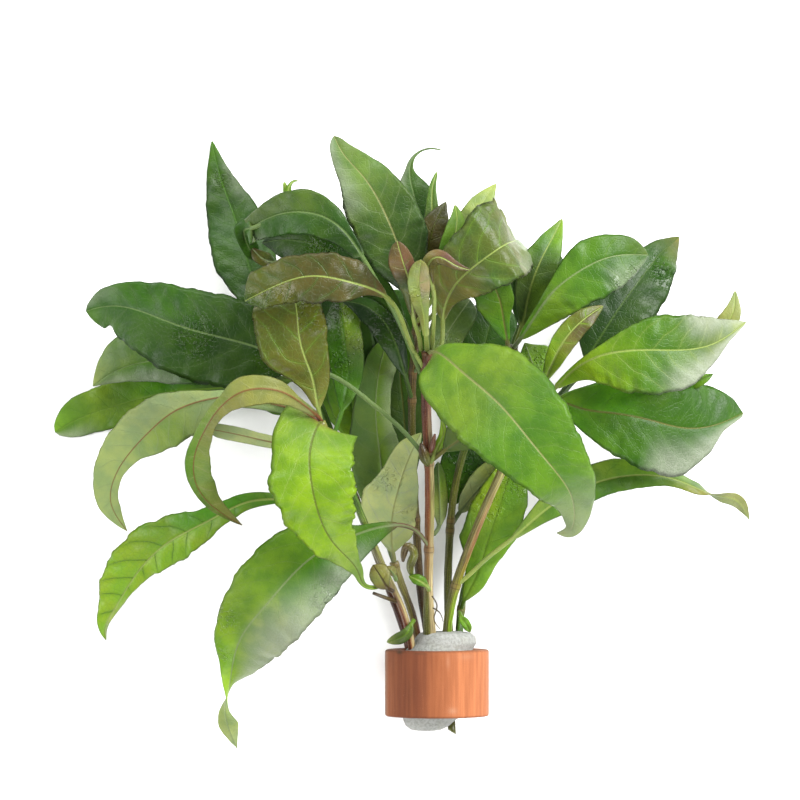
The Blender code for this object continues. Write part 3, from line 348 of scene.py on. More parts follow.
        right=[1, 7, 10, 12, 11.4, 10.4, 8.2, 5.4, 0.4]),
    "leaf_lime_right_top": dict(
        stem="stem_right_rear", slot="lime", stalk=1, finish="waxy",
        tones="moss apple moss grass lime", leftTonesAndShading="forest willow moss jade pea", rib="lemon",
        vein="apple", wave=(0.5, 14),
        path=[(514, 348, 37.6), (522, 325, 42), (530, 290, 45), (542, 258, 44), (553, 237, 41),
              (562, 219, 38)],
        left=[1, 4.5, 6, 4, 0.4],
        right=[1, 5.5, 7, 4.5, 0.4]),
    "leaf_dark_right_top": dict(
        stem="stem_right_rear", slot="dark", stalk=1, finish="waxy", tones="forest forest forest",
        rib="moss", vein="pine",
        path=[(509, 354, 35.5), (520, 325, 34), (536, 292, 36), (546, 266, 34), (554, 246, 30)],
        left=[1, 7.6, 9.5, 8.5, 0.4],
        right=[1, 9, 10.5, 8, 0.4]),
    "leaf_small_right": dict(
        stem="stem_right_rear", slot="green", stalk=1, finish="waxy",
        tones="meadow grass leaf leaf", rib="khaki", vein="leaf",
        path=[(509, 357, 35.5), (507, 340, 45), (503, 316, 51), (498, 295, 54), (486, 272, 55),
              (478, 258, 52)],
        left=[1, 5, 8, 7.5, 0.4],
        right=[1, 2, 5, 5.5, 0.4]),
    "leaf_curled_yellow": dict(
        stem="stem_right_shoot", slot="yellow", stalk=1, finish="young",
        tones="spring sap khaki bronze olive", leftTonesAndShading="spring spring apple olive khaki",
        rib="lemon", vein="lime", wave=(0.7, 7),
        path=[(545, 393, 46), (546, 379, 54), (553, 362, 59), (566, 338, 62), (583, 320, 62),
              (603, 306, 58)],
        left=[1, 3, 4, 3.5, 0.5],
        right=[1, 3, 4, 3.5, 0.5]),
    "leaf_grey_underside": dict(
        stem="stem_right_shoot", slot="grey", stalk=1, finish="under", tones="kiwi kiwi apple",
        rib="celadon", vein="celadon", wet=[(0.5, 0, 6)],
        path=[(541, 400, 45), (538, 385, 46.5), (534, 368, 45.5), (529, 354, 42.5), (525, 343, 39)],
        left=[1, 4.6, 3.4, 0.4],
        right=[1, 7.5, 7, 0.4]),
    "leaf_light_right": dict(
        stem="stem_right_shoot", slot="green", stalk=1, finish="waxy",
        tones="spring lime leaf willow celadon", rib="lemon", vein="lemon",
        paintedSheen=[(-1, 0.6, 1, 0.9), (1, 0.7, 1, 0.75)], wave=(0.6, 14), flush=0.5,
        path=[(541, 400, 45), (556, 387, 49.5), (574, 370, 54), (600, 356, 58), (640, 350, 60),
              (680, 350, 56), (715, 343, 48), (746, 322, 40)],
        left=[1, 1.4, 3, 7.2, 11.4, 11.6, 10.6, 7.4, 0.4],
        right=[1, 4.6, 10.4, 14, 14.6, 12.8, 6.8, 2, 0.4]),
    "leaf_lime_right_tip": dict(
        stem="stem_right_low", slot="lime", stalk=2, finish="waxy", tones="reed reed celadon",
        rib="lemon", vein="lemon",
        path=[(577, 378, 16.6), (610, 375, 26), (660, 370, 31), (700, 350, 33), (720, 332, 34),
              (733, 312, 34), (735, 291, 32)],
        left=[1, 3, 4, 3.6, 0.4],
        right=[1, 3, 3.8, 3.2, 0.4]),
    "leaf_dark_right": dict(
        stem="stem_right_shoot", slot="dark", stalk=1, finish="waxy",
        tones="meadow leaf fern fern leaf", leftTonesAndShading="kiwi meadow leaf fern fern", rib="khaki",
        vein="jade", paintedSheen=[(-1, 0.55, 1, 0.85)], wave=(0.6, 16),
        path=[(537, 410, 43.5), (556, 402, 42.5), (580, 408, 45), (612, 413, 46), (650, 420, 43),
              (685, 428, 37), (715, 425, 31), (743, 413, 24)],
        left=[1, 8, 10.5, 11.5, 12, 13.5, 15, 12.6, 4.5],
        right=[1, 6, 12, 15, 16.7, 16.6, 9.4, 2.5, 1]),
    "leaf_twisted_right": dict(
        stem="stem_right_shoot", slot="green", stalk=3, finish="waxy",
        tones="pea jade jade reed straw", leftTonesAndShading="pea pea kiwi celadon straw", rib="lemon",
        vein="jade", wave=(0.5, 15),
        path=[(456, 586, 23), (470, 574, 25), (485, 560, 27), (514, 537, 30), (548, 508, 32),
              (595, 483, 30), (640, 475, 26), (680, 481, 20), (712, 494, 14), (735, 500, 8),
              (749, 519, 0.4)],
        left=[1, 3, 5, 6, 6.5, 5, 3, 2, 2.8, 2.6, 0.3],
        right=[1, 3, 5, 5.4, 5, 4.4, 3, 2.4, 2.4, 2.4, 0.3],
        turn=[0, 0, 0, 0, 0, 0, 0, -20, -110, -160, -160]),
    "leaf_stem_right": dict(
        stem="stem_right_low", slot="green", stalk=1, finish="waxy",
        tones="apple kiwi kiwi kiwi kiwi", leftTonesAndShading="apple grass apple sap sap", rib="apple",
        vein="grass", wet=[(0.6, 0.4, 5), (0.75, -0.3, 5), (0.85, 0.3, 4)], wave=(0.6, 13),
        path=[(461, 610, 13), (464, 600, 17), (474, 580, 19), (488, 540, 21), (500, 505, 22),
              (510, 470, 21), (518, 440, 18)],
        left=[1, 3, 6, 9.5, 9.5, 8.5, 6, 3, 0.4],
        right=[1, 4, 5, 7.7, 9.2, 8.8, 7, 4, 0.4]),
    "leaf_pale_underside": dict(
        stem="stem_right_rear", slot="grey", stalk=1, finish="under",
        tones="frost frost lemon lemon", rib="celadon", vein="celadon",
        path=[(449, 530, 14.3), (460, 512, 13), (476, 492, 14), (490, 475, 14), (505, 455, 12)],
        left=[1, 4, 5, 4, 0.4],
        right=[1, 4, 5, 4, 0.4]),
    "leaf_dark_wet": dict(
        stem="stem_right_rear", slot="dark", stalk=1, finish="waxy",
        tones="leaf leaf forest forest", rib="moss", vein="pine", wet=[(0.5, 0, 9)],
        path=[(450, 520, 15), (452, 505, 10), (458, 480, 10), (468, 455, 10), (480, 435, 9)],
        left=[1, 6.5, 7.5, 8, 0.4],
        right=[1, 6, 7, 7, 0.4]),
    "leaf_underside_centre": dict(
        stem="stem_left_inner", slot="grey", stalk=1, finish="under",
        tones="pistachio frost frost frost frost", leftTonesAndShading="frost frost frost frost lemon",
        rib="straw", vein="mist", wet=[(0.35, -0.7, 4), (0.55, 0.6, 4)], wave=(0.6, 12),
        path=[(395, 564, 21.8), (393, 552, 25), (392, 520, 28), (398, 490, 30), (408, 460, 31),
              (421, 433, 29)],
        left=[1, 5, 11.3, 11.2, 8, 6.4, 5, 0.4],
        right=[1, 7, 8, 7.5, 6.5, 4, 2.4, 0.4]),
    "leaf_long_centre": dict(
        stem="stem_left_inner", slot="dark", stalk=1, blunt=0.06, finish="under",
        tones="kiwi kiwi apple apple apple", leftTonesAndShading="fennel fennel fennel fennel kiwi",
        rib="celadon", vein="sage", paintedSheen=[(-1, 0.4, 0.9, 0.4)], wave=(0.6, 14),
        path=[(394, 563, 22), (388, 545, 21), (383, 510, 22), (381, 465, 24), (376, 420, 27),
              (377, 385, 28), (382, 358, 27), (388, 338, 24)],
        left=[1, 4, 8, 9.8, 9.5, 8, 6.4, 5, 2],
        right=[1, 4, 7.5, 8, 6.5, 5, 5, 5.4, 3]),
    "leaf_wet_left": dict(
        stem="stem_left_shoot", slot="dark", stalk=1, finish="waxy",
        tones="leaf leaf willow apple ivy", leftTonesAndShading="clover leaf fern ivy yew", rib="leaf",
        vein="leaf", wet=[(0.6, -0.4, 5), (0.8, 0.3, 5), (0.4, 0.5, 4)],
        path=[(330, 444, 53.4), (342, 410, 40), (348, 375, 37), (345, 345, 38), (342, 318, 36),
              (338, 295, 32)],
        left=[1, 5, 6.5, 6, 0.4],
        right=[1, 4.5, 6, 6, 0.4]),
    "leaf_dark_left_centre": dict(
        stem="stem_left_rear", slot="dark", stalk=1, finish="waxy", tones="spring jade ivy",
        rib="leaf", vein="forest",
        path=[(352, 488, 14), (358, 455, 17), (352, 410, 20.5), (348, 375, 22.5), (350, 335, 24),
              (358, 303, 22)],
        left=[1, 6, 8, 7, 0.4],
        right=[1, 6, 8, 8.5, 0.4]),
    "leaf_wet_top": dict(
        stem="stem_centre_rear", slot="dark", stalk=1, finish="waxy",
        tones="yew bottle yew forest bottle", leftTonesAndShading="pine ivy yew bottle yew", rib="moss",
        vein="pine", wet=[(0.5, 0, 6)],
        path=[(412, 400, 23), (405, 375, 31), (396, 345, 36), (385, 323, 38), (366, 306, 40),
              (342, 301, 38)],
        left=[1, 4, 5.5, 5, 0.4],
        right=[1, 2.8, 3.5, 3, 0.4]),
    "leaf_grey_centre": dict(
        stem="stem_centre_rear", slot="grey", stalk=1, blunt=0.08, finish="under",
        tones="sage sage moss ivy", leftTonesAndShading="sage sage moss willow", rib="celadon", vein="sage",
        wet=[(0.3, -0.5, 5)],
        path=[(413, 372, 25.6), (430, 360, 32), (443, 340, 36), (453, 324, 38), (464, 308, 38),
              (470, 300, 35)],
        left=[1, 5, 6.4, 6, 3],
        right=[1, 5, 6, 5.6, 3]),
    "leaf_behind_front": dict(
        stem="stem_main", slot="green", stalk=1, finish="waxy", tones="willow willow willow",
        rib="khaki", vein="forest",
        path=[(429, 463, 36), (445, 450, 41), (466, 436, 46), (495, 418, 50), (520, 400, 50),
              (540, 385, 44)],
        left=[1.5, 8, 8, 5, 0.4],
        right=[1, 5, 6, 4, 0.4]),
    "leaf_small_left": dict(
        stem="stem_left_shoot", slot="green", stalk=1, blunt=0.1, finish="under",
        tones="frost frost celadon", rib="rust", vein="celadon",
        path=[(333, 450, 52.6), (318, 449, 46), (300, 447, 44), (271, 442, 44), (240, 435, 40),
              (210, 429, 36)],
        left=[1, 2, 2.2, 2.5, 2.4],
        right=[1, 2, 2.2, 2.5, 2.4]),
    "leaf_back_centre": dict(
        stem="stem_centre_rear", slot="dark", stalk=1, blunt=0.1, finish="waxy",
        tones="glade glade leaf forest", leftTonesAndShading="moss moss ivy forest", rib="olive", vein="pine",
        path=[(415, 520, 16.8), (410, 490, 11), (405, 430, 12), (400, 375, 13), (393, 325, 12),
              (386, 290, 10)],
        left=[1, 7, 10, 11, 8],
        right=[1, 6, 9, 11, 9]),
    "leaf_back_right": dict(
        stem="stem_right_low", slot="dark", stalk=1, blunt=0.1, finish="waxy",
        tones="forest forest forest forest", leftTonesAndShading="ivy ivy ivy bottle", rib="moss",
        vein="pine",
        path=[(513, 463, 11), (490, 440, 5), (480, 400, 3), (484, 350, 2), (497, 300, 0.5)],
        left=[1, 9, 12, 10, 5],
        right=[1, 8, 12, 11, 6]),
    "leaf_back_left": dict(
        stem="stem_left_rear", slot="dark", stalk=1, blunt=0.1, finish="waxy",
        tones="kiwi forest pine", rib="moss", vein="pine",
        path=[(340, 458, 14), (345, 435, 6), (338, 390, 3), (325, 340, 2), (322, 295, 0.5)],
        left=[1, 8, 10, 8, 0.4],
        right=[1, 8, 11, 11, 5]),
}

# Small pieces: young leaves, scraps and rolled bits, in the same terms as the leaves. They grow
# beside the leaf or stem at the start of their path.
bits = {
    "bud_leaf_right": dict(
        slot="lime", stalk=1, finish="young", tones="khaki spring spring", rib="lemon", vein="lime",
        path=[(430, 463, 37), (434, 456, 38.5), (439, 445, 40), (444, 432, 41.5), (441, 419, 42)],
        left=[1, 1.6, 1.8, 0.4],
        right=[1, 1.8, 1.6, 0.4],
        turn=[0, -30, -40]),
    "folded_scrap": dict(
        slot="yellow", stalk=1, finish="young", tones="bronze reed khaki", rib="umber",
        vein="bronze", curl=0.3,
        path=[(393, 591, 47), (388, 588, 49), (382, 579, 50), (377, 571, 50), (373, 565, 49)],
        left=[1, 3, 3.4, 3, 1],
        right=[1, 2.2, 3.6, 3.6, 1]),
    "pale_curl": dict(
        slot="pale", stalk=1, finish="under", tones="khaki khaki khaki", rib="sage", vein="sage",
        curl=0.4,
        path=[(396, 580, 43), (394, 575, 46), (390, 570, 48.5), (386, 567, 48)],
        left=[1, 1.8, 1.7, 0.5],
        right=[1, 1.8, 1.7, 0.5]),
    "green_curl": dict(
        slot="lime", stalk=1, finish="waxy", tones="apple grass apple", rib="lemon", vein="lime",
        curl=0.3,
        path=[(429, 590, 33), (426, 585, 37), (418, 580, 40), (409, 576, 39)],
        left=[1, 1.6, 1.7, 0.5],
        right=[1, 1.9, 1.8, 0.5]),
    "ring_leaf_left": dict(
        slot="dark", stalk=1, finish="waxy", tones="moss willow lemon", rib="apple", vein="jade",
        path=[(414, 620, 24), (411, 625, 25.5), (408, 632, 26.5), (399, 638, 25), (387, 642, 21)],
        left=[1, 1.9, 2.2, 1.6, 0.4],
        right=[1, 1.9, 2, 1.4, 0.4]),
    "ring_leaf_right": dict(
        slot="green", stalk=1, finish="waxy", tones="kiwi kiwi kiwi", rib="apple", vein="jade",
        path=[(459, 612, 18), (461, 617, 21), (466, 624, 23), (470, 632, 20)],
        left=[0.8, 1.5, 1.4, 0.4],
        right=[0.8, 1.5, 1.4, 0.4]),
    "yellow_sprig": dict(
        slot="lime", stalk=1, finish="waxy", tones="leaf lime sap olive", rib="lemon", vein="lime",
        path=[(516, 345, 38), (520, 335, 40), (531, 312, 42), (537, 298, 43), (547, 282, 42)],
        left=[1, 1.2, 1.8, 1.6, 0.5],
        right=[1, 2, 2.6, 2, 0.5]),
    "arch_end": dict(
        slot="dark", stalk=1, blunt=0.2, finish="waxy", tones="fern fern forest", rib="sage",
        vein="moss",
        path=[(266, 222, 47), (252, 228, 43), (244, 231, 38), (247, 244, 34), (258, 263, 31)],
        left=[5, 5.4, 3.4, 3, 0.4],
        right=[3.4, 3.6, 2.6, 2.4, 0.4]),
    "sliver": dict(
        slot="green", stalk=1, finish="waxy", tones="leaf jade grass leaf", rib="apple",
        vein="jade",
        path=[(318, 426, 50), (310, 420, 50), (297, 413, 51), (280, 410, 51), (260, 406, 50)],
        left=[1, 1.6, 1.8, 0.4],
        right=[1, 1.6, 1.5, 0.4]),
    "scrap_below_arch": dict(
        slot="dark", stalk=1, finish="young", tones="glade olive umber", rib="celadon", vein="moss",
        path=[(285, 262, 30), (275, 262, 32), (262, 258, 34), (252, 248, 33)],
        left=[1, 2.4, 2.4, 0.4],
        right=[1, 2.6, 2, 0.4]),
    "second_prong": dict(
        slot="lime", stalk=1, finish="waxy", tones="grass grass grass", rib="lemon", vein="lemon",
        path=[(292, 214, 14), (291, 207, 15), (288, 193, 16), (290, 185, 16), (294, 181, 15),
              (298, 181, 14)],
        left=[1, 1.6, 1.5, 0.8, 0.5, 0.3],
        right=[1, 1.8, 1.6, 0.8, 0.5, 0.3]),
    "hook_right": dict(
        slot="dark", stalk=1, finish="waxy", tones="grass grass grass", rib="moss", vein="leaf",
        path=[(672, 392, 30), (688, 386, 34), (700, 380, 36), (713, 374, 35)],
        left=[1, 1.8, 1.4, 0.3],
        right=[1, 2.2, 1.8, 0.3]),
    "grey_behind_stem": dict(
        slot="grey", stalk=1, finish="under", tones="frost lemon apple moss",
        leftTonesAndShading="frost lemon willow glade", rib="celadon", vein="sage",
        path=[(434, 534, 20), (439, 526, 15), (440, 505, 14), (439, 485, 14), (438, 462, 13)],
        left=[0.6, 2.4, 2.8, 2.4, 0.6],
        right=[0.6, 2.4, 2.8, 2.4, 0.6]),
}

# Rolled bits and thin stalks: radii in mm from foot to top, evenly spread along the path.
stalks = {
    "bud_left": dict(
        slot="stem", tones="olive olive bronze umber", radii=[0.8, 1.7, 1.5, 0.4],
        path=[(428, 465, 37), (424, 455, 39.5), (421, 443, 40.5)]),
    "bud_scale": dict(
        slot="stem", tones="rust rose rose", radii=[0.6, 1.1, 0.8, 0.3],
        path=[(430, 452, 39), (433, 442, 41), (435, 434, 41.5)]),
    "twig_stub": dict(
        slot="stem", tones="umber bronze umber", radii=[0.8, 0.65, 0.6, 0.5],
        path=[(396, 601, 28), (385, 597.5, 31.5), (373, 593, 33)]),
    "olive_curl": dict(
        slot="stem", tones="leaf olive olive bronze bronze", radii=[0.5, 1.2, 1.4, 1.3, 1.2, 0.5],
        path=[(412, 576, 37), (411, 563, 42), (413, 550, 45), (408, 546, 45.5), (404, 553, 44),
              (403, 561, 42)]),
    "rootlet_long": dict(
        slot="stem", tones="umber bronze", radii=[0.22, 0.2, 0.15],
        path=[(432, 596, 29), (437, 606, 29.5), (434, 618, 28), (440, 629, 26)]),
    "rootlet_short": dict(
        slot="stem", tones="umber umber", radii=[0.25, 0.2, 0.12],
        path=[(433, 608, 28.5), (440, 613, 27), (443, 622, 26)]),
}


def linearColour(name, share=lightShare):
    # A palette colour from sRGB to linear: the sRGB curve undone, times the share.
    parts = np.array([int(palette[name][k:k + 2], 16) / 255 for k in (0, 2, 4)])
    return np.where(parts <= 0.04045, parts / 12.92, ((parts + 0.055) / 1.055) ** 2.4) * share


def eased(values, share):
    # Values spread evenly over 0..1, read at share by a cubic that never overshoots them.
    values = np.asarray(values, dtype=float)
    last = len(values) - 1
    step = np.diff(values)
    pair = step[:-1] * step[1:]
    total = step[:-1] + step[1:]
    inner = np.where(pair > 0, 2 * pair / np.where(pair > 0, total, 1), 0)
    slope = np.concatenate(([step[0]], inner, [step[-1]]))
    spot = np.clip(share, 0, 1) * last
    left = np.minimum(spot.astype(int), last - 1)
    f = spot - left
    return (values[left] * (1 + 2 * f) * (1 - f) ** 2 + slope[left] * f * (1 - f) ** 2
            + values[left + 1] * f * f * (3 - 2 * f) - slope[left + 1] * f * f * (1 - f))


def smooth(low, high, value):
    # 0 below low, 1 above high, and 3t^2 - 2t^3 between them.
    t = np.clip((value - low) / (high - low), 0, 1)
    return t * t * (3 - 2 * t)


def wander(x, seed):
    # A wandering line of about -1..1: four sines whose lengths share no common step.
    return (np.sin(x + 1.7 * seed) + 0.6 * np.sin(1.83 * x + 2.9 * seed)
            + 0.4 * np.sin(3.1 * x + 0.7 * seed) + 0.25 * np.sin(5.3 * x + 4.1 * seed)) / 1.7


def unit(vectors):
    return vectors / np.linalg.norm(vectors, axis=-1, keepdims=True)


def knotsOf(points):
    # Share of the path's length at which each point lies, by straight steps.
    steps = np.linalg.norm(np.diff(points, axis=0), axis=1)
    return np.concatenate(([0], np.cumsum(steps))) / steps.sum()


def route(points, share):
    # Natural cubic spline through the points, read at shares of its length.
    knots = knotsOf(points)
    gap = np.diff(knots)
    count = len(points)
    matrix = np.eye(count)
    pull = np.zeros_like(points)
    for k in range(1, count - 1):
        matrix[k, k - 1:k + 2] = gap[k - 1], 2 * (gap[k - 1] + gap[k]), gap[k]
        pull[k] = 6 * ((points[k + 1] - points[k]) / gap[k]
                       - (points[k] - points[k - 1]) / gap[k - 1])
    bend = np.linalg.solve(matrix, pull)
    k = np.clip(np.searchsorted(knots, share, side="right") - 1, 0, count - 2)
    a = ((knots[k + 1] - share) / gap[k])[:, None]
    b = 1 - a
    h = gap[k][:, None]
    return (a * points[k] + b * points[k + 1]
            + ((a ** 3 - a) * bend[k] + (b ** 3 - b) * bend[k + 1]) * h * h / 6)


def heading(points, share):
    # Unit direction of a route, from its points a thousandth of its length either way.
    return unit(route(points, np.minimum(share + 1e-3, 1))
                - route(points, np.maximum(share - 1e-3, 0)))


# The frame stands on its box, so the ring tells how far the photograph's middle is from it.
ringLow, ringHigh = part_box("ring")
pixel = ring["outer"] * mm / photo["ringSeen"]
level = ring["outer"] * mm / 2
middle = photo["size"] / 2
ringMiddleX = (ringLow.x + ringHigh.x) / 2
middleX = ringMiddleX - (photo["ringAxisSeen"] - middle) * pixel
middleY = ringLow.y - (middle - photo["ringFootSeen"]) * pixel


def placed(path):
    # World points of (pixel across, pixel down, height in mm), seen from the camera's height:
    # the pixel's size shrinks as the point comes nearer to the camera.
    path = np.asarray(path, dtype=float)
    height = path[:, 2] * mm
    reach = pixel * (photo["cameraHeight"] - height) / (photo["cameraHeight"] - level)
    return np.stack((middleX + (path[:, 0] - middle) * reach,
                     middleY + (middle - path[:, 1]) * reach, height), axis=1)


def makePiece(name, verts, faces, material, replaced=None):
    # One smooth mesh object at the origin, which rides on the only body.
    mesh = bpy.data.meshes.new(name)
    mesh.from_pydata(verts.tolist(), [], faces)
    mesh.shade_smooth()
    mesh.materials.append(material)
    piece = bpy.data.objects.new(name, mesh)
    bpy.context.scene.collection.objects.link(piece)
    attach(piece, "root")
    if replaced:
        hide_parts(replaced)
    return piece


def addAttribute(mesh, name, kind, values):
    # A value for each vertex, read by the piece's material.
    field = "color" if kind == "FLOAT_COLOR" else "vector"
    layer = mesh.attributes.new(name, kind, "POINT")
    layer.data.foreach_set(field, np.ascontiguousarray(values, dtype=np.float32).ravel())


def ringFaces(rows, sides, turned=False):
    # Quads between closed rings of points, row after row; turned where the rings run clockwise.
    row = np.arange(rows - 1)[:, None] * sides
    side = np.arange(sides)[None, :]
    following = (side + 1) % sides
    quads = np.stack((row + side, row + following, row + sides + following, row + sides + side),
                     axis=-1)
    quads = quads[..., ::-1] if turned else quads
    return quads.reshape(-1, 4).tolist()


def tonesAlong(names, share, stretch=lightShare):
    # Palette colours spread evenly over 0..1 and read at share.
    stops = np.array([linearColour(name, stretch) for name in names])
    return np.stack([eased(stops[:, k], share) for k in range(3)], axis=-1)


soft = dict(interpolation_type="SMOOTHSTEP")
times = dict(operation="MULTIPLY")
plus = dict(operation="ADD")
mixed = dict(data_type="RGBA")
tinted = dict(data_type="RGBA", blend_type="MULTIPLY")


def addNode(tree, kind, inputs=(), **settings):
    # Adds a shader node with its settings. Inputs go by place or by name; each is a value, or a
    # socket or node to link from, and a node stands for its first output in use.
    made = tree.nodes.new("ShaderNode" + kind)
    for key, value in settings.items():
        setattr(made, key, value)
    pairs = inputs.items() if isinstance(inputs, dict) else enumerate(inputs)
    for key, value in pairs:
        if isinstance(value, bpy.types.Node):
            value = next(out for out in value.outputs if out.enabled)
        if isinstance(value, bpy.types.NodeSocket):
            tree.links.new(value, made.inputs[key])
        else:
            made.inputs[key].default_value = value
    return made


def newMaterial(name, **sockets):
    # A material with one Principled shader whose own sockets hold the even values.
    made = bpy.data.materials.new(name)
    made.use_nodes = True
    shader = made.node_tree.nodes["Principled BSDF"]
    for key, value in sockets.items():
        shader.inputs[key.replace("_", " ")].default_value = value
    return made, made.node_tree, shader


# Living leaf: a waxy cuticle over green tissue. The eye sees a soft gloss, a paler midrib,
# side veins that arch towards the tip, and a fine net between them.
leafFinishes = dict(
    waxy=dict(Roughness=0.38, IOR=1.45, Specular_IOR_Level=0.15, Coat_Weight=0.03,
              Coat_Roughness=0.16,
              sideVeins=0.20, ribTone=0.75, netTone=0.06, mottle=0.70, flush=0.0, relief=0.35,
              rimTone=0.30, rimColour="bottle"),
    young=dict(Roughness=0.36, IOR=1.45, Specular_IOR_Level=0.17, Coat_Weight=0.04,
               Coat_Roughness=0.16,
               sideVeins=0.55, ribTone=0.85, netTone=0.14, mottle=0.75, flush=0.30, relief=0.8,
               rimTone=0.45, rimColour="umber"),
    under=dict(Roughness=0.46, IOR=1.42, Specular_IOR_Level=0.16, Coat_Weight=0.01,
               Coat_Roughness=0.30,
               sideVeins=0.32, ribTone=0.75, netTone=0.12, mottle=0.50, flush=0.05, relief=-0.5,
               rimTone=0.25, rimColour="umber"))


def leafMaterial(name, look):
    values = {key: value for key, value in look.items() if key[0].isupper()}
    made, tree, shader = newMaterial(name, **values)
    tone = addNode(tree, "Attribute", attribute_name="tone")
    veinTone = addNode(tree, "Attribute", attribute_name="veinTone")
    ribTone = addNode(tree, "Attribute", attribute_name="ribTone")
    bladeSpot = addNode(tree, "Attribute", attribute_name="bladeSpot").outputs["Vector"]
    veinSpot = addNode(tree, "Attribute", attribute_name="veinSpot").outputs["Vector"]
    paintedSheenAndWet = addNode(tree, "Attribute", attribute_name="paintedSheenAndWet").outputs["Vector"]
    lengthways, outwards, edge = addNode(tree, "SeparateXYZ", [bladeSpot]).outputs
    veinCount, fromRib, share = addNode(tree, "SeparateXYZ", [veinSpot]).outputs
    paintedSheen, wet, fold = addNode(tree, "SeparateXYZ", [paintedSheenAndWet]).outputs
    place = addNode(tree, "TexCoord").outputs["Object"]
    # blotches of 4 to 12 mm, as on real leaves
    blotch = addNode(tree, "TexNoise", {"Vector": place, "Scale": 120.0, "Detail": 3.0,
                                        "Roughness": 0.55})
    # grain of 0.5 mm, a few times coarser than real leaf cells, so that it shows
    grain = addNode(tree, "TexNoise", {"Vector": place, "Scale": 2000.0, "Detail": 2.0})
    # side veins: the attribute counts them, with a slight waver of 0.3 of their spacing
    waver = addNode(tree, "Math", [blotch, 0.3], **times)
    counted = addNode(tree, "Math", [veinCount, waver], **plus)
    within = addNode(tree, "Math", [counted], operation="FRACT")
    shifted = addNode(tree, "Math", [within, 0.5], operation="SUBTRACT")
    offLine = addNode(tree, "Math", [shifted], operation="ABSOLUTE")
    bare = addNode(tree, "MapRange", [offLine, 0.008, 0.045, 1, 0], **soft)
    fade = addNode(tree, "MapRange", [edge, 0.2, 2.6, 0, 1], **soft)
    sideLine = addNode(tree, "Math", [bare, fade], **times)
    sideGlow = addNode(tree, "MapRange", [offLine, 0.0, 0.22, look["sideVeins"] * 0.35, 0], **soft)
    ribSpan = addNode(tree, "Math", [fromRib], operation="ABSOLUTE")
    ribLine = addNode(tree, "MapRange", [ribSpan, 0.40, 1.05, 1, 0], **soft)
    # net of the finest veins, drawn 1.6 mm wide where the real one is about 0.8 mm
    flat = addNode(tree, "CombineXYZ", [lengthways, outwards])
    cell = addNode(tree, "TexVoronoi", {"Vector": flat, "Scale": 0.62}, voronoi_dimensions="2D",
                   feature="DISTANCE_TO_EDGE")
    netLine = addNode(tree, "MapRange", [cell, 0.02, 0.14, 1, 0], **soft)
    # colour: tissue, its blotches, the flush of a young leaf, then net, side veins and midrib
    patch = addNode(tree, "MapRange", [blotch, 0.35, 0.66, 0, 1], **soft)
    swing = addNode(tree, "Mix", {0: patch, 6: (0.70, 0.78, 0.85, 1), 7: (1.34, 1.20, 0.95, 1)},
                    **mixed)
    blotched = addNode(tree, "Mix", {0: look["mottle"], 6: tone, 7: swing}, **tinted)
    flushing = addNode(tree, "Math", [patch, look["flush"]], **times)
    flushed = addNode(tree, "Mix", {0: flushing, 6: blotched, 7: (*linearColour("bronze"), 1)},
                      **mixed)
    netShow = addNode(tree, "Math", [netLine, look["netTone"]], **times)
    netted = addNode(tree, "Mix", {0: netShow, 6: flushed, 7: veinTone}, **mixed)
    glowing = addNode(tree, "Mix", {0: sideGlow, 6: netted, 7: veinTone}, **mixed)
    sideShow = addNode(tree, "Math", [sideLine, look["sideVeins"]], **times)
    sided = addNode(tree, "Mix", {0: sideShow, 6: glowing, 7: veinTone}, **mixed)
    ribShow = addNode(tree, "Math", [ribLine, look["ribTone"]], **times)
    ribbed = addNode(tree, "Mix", {0: ribShow, 6: sided, 7: ribTone}, **mixed)
    rim = addNode(tree, "MapRange", [edge, 0.04, 0.30, look["rimTone"], 0], **soft)
    rimmed = addNode(tree, "Mix", {0: rim, 6: ribbed, 7: (*linearColour(look["rimColour"]), 1)},
                     **mixed)
    # painted sheen: a pale grey highlight painted into the colour, thinner between the grains
    grained = addNode(tree, "MapRange", [grain, 0.25, 0.75, 0.65, 1], **soft)
    sheenAndWaterFilm = addNode(tree, "Math", [paintedSheen, grained], **times)
    sheenPainted = addNode(tree, "Mix", {0: sheenAndWaterFilm, 6: rimmed, 7: (*linearColour("mist"), 1)}, **mixed)
    tree.links.new(sheenPainted.outputs[2], shader.inputs["Base Color"])
    # gloss: the cuticle's, down to a water film's where the leaf is wet
    gloss = addNode(tree, "MapRange", [wet, 0.05, 0.5, look["Roughness"], 0.05], **soft)
    uneven = addNode(tree, "MapRange", [grain, 0, 1, -0.10, 0.10])
    rough = addNode(tree, "Math", [gloss, uneven], **plus)
    tree.links.new(rough.outputs[0], shader.inputs["Roughness"])
    # relief as a share of 0.25 mm: veins sink, cells swell, a wet film stands in drops
    drop = addNode(tree, "TexNoise", {"Vector": place, "Scale": 700.0, "Detail": 1.0})
    standing = addNode(tree, "MapRange", [drop, 0.52, 0.66, 0, 4.0], **soft)
    sheenAndWaterFilm = addNode(tree, "Math", [standing, wet], **times)
    lines = addNode(tree, "Math", [sideLine, ribLine], **plus)
    sunk = addNode(tree, "Math", [lines, -look["relief"], sheenAndWaterFilm], operation="MULTIPLY_ADD")
    netSunk = addNode(tree, "Math", [netLine, -0.25, sunk], operation="MULTIPLY_ADD")
    height = addNode(tree, "Math", [grain, 0.30, netSunk], operation="MULTIPLY_ADD")
    bump = addNode(tree, "Bump", {"Strength": 0.7, "Distance": 0.25 * mm, "Height": height})
    tree.links.new(bump.outputs[0], shader.inputs["Normal"])
    return made


leafMaterials = {kind: leafMaterial(kind + "Leaf", look) for kind, look in leafFinishes.items()}


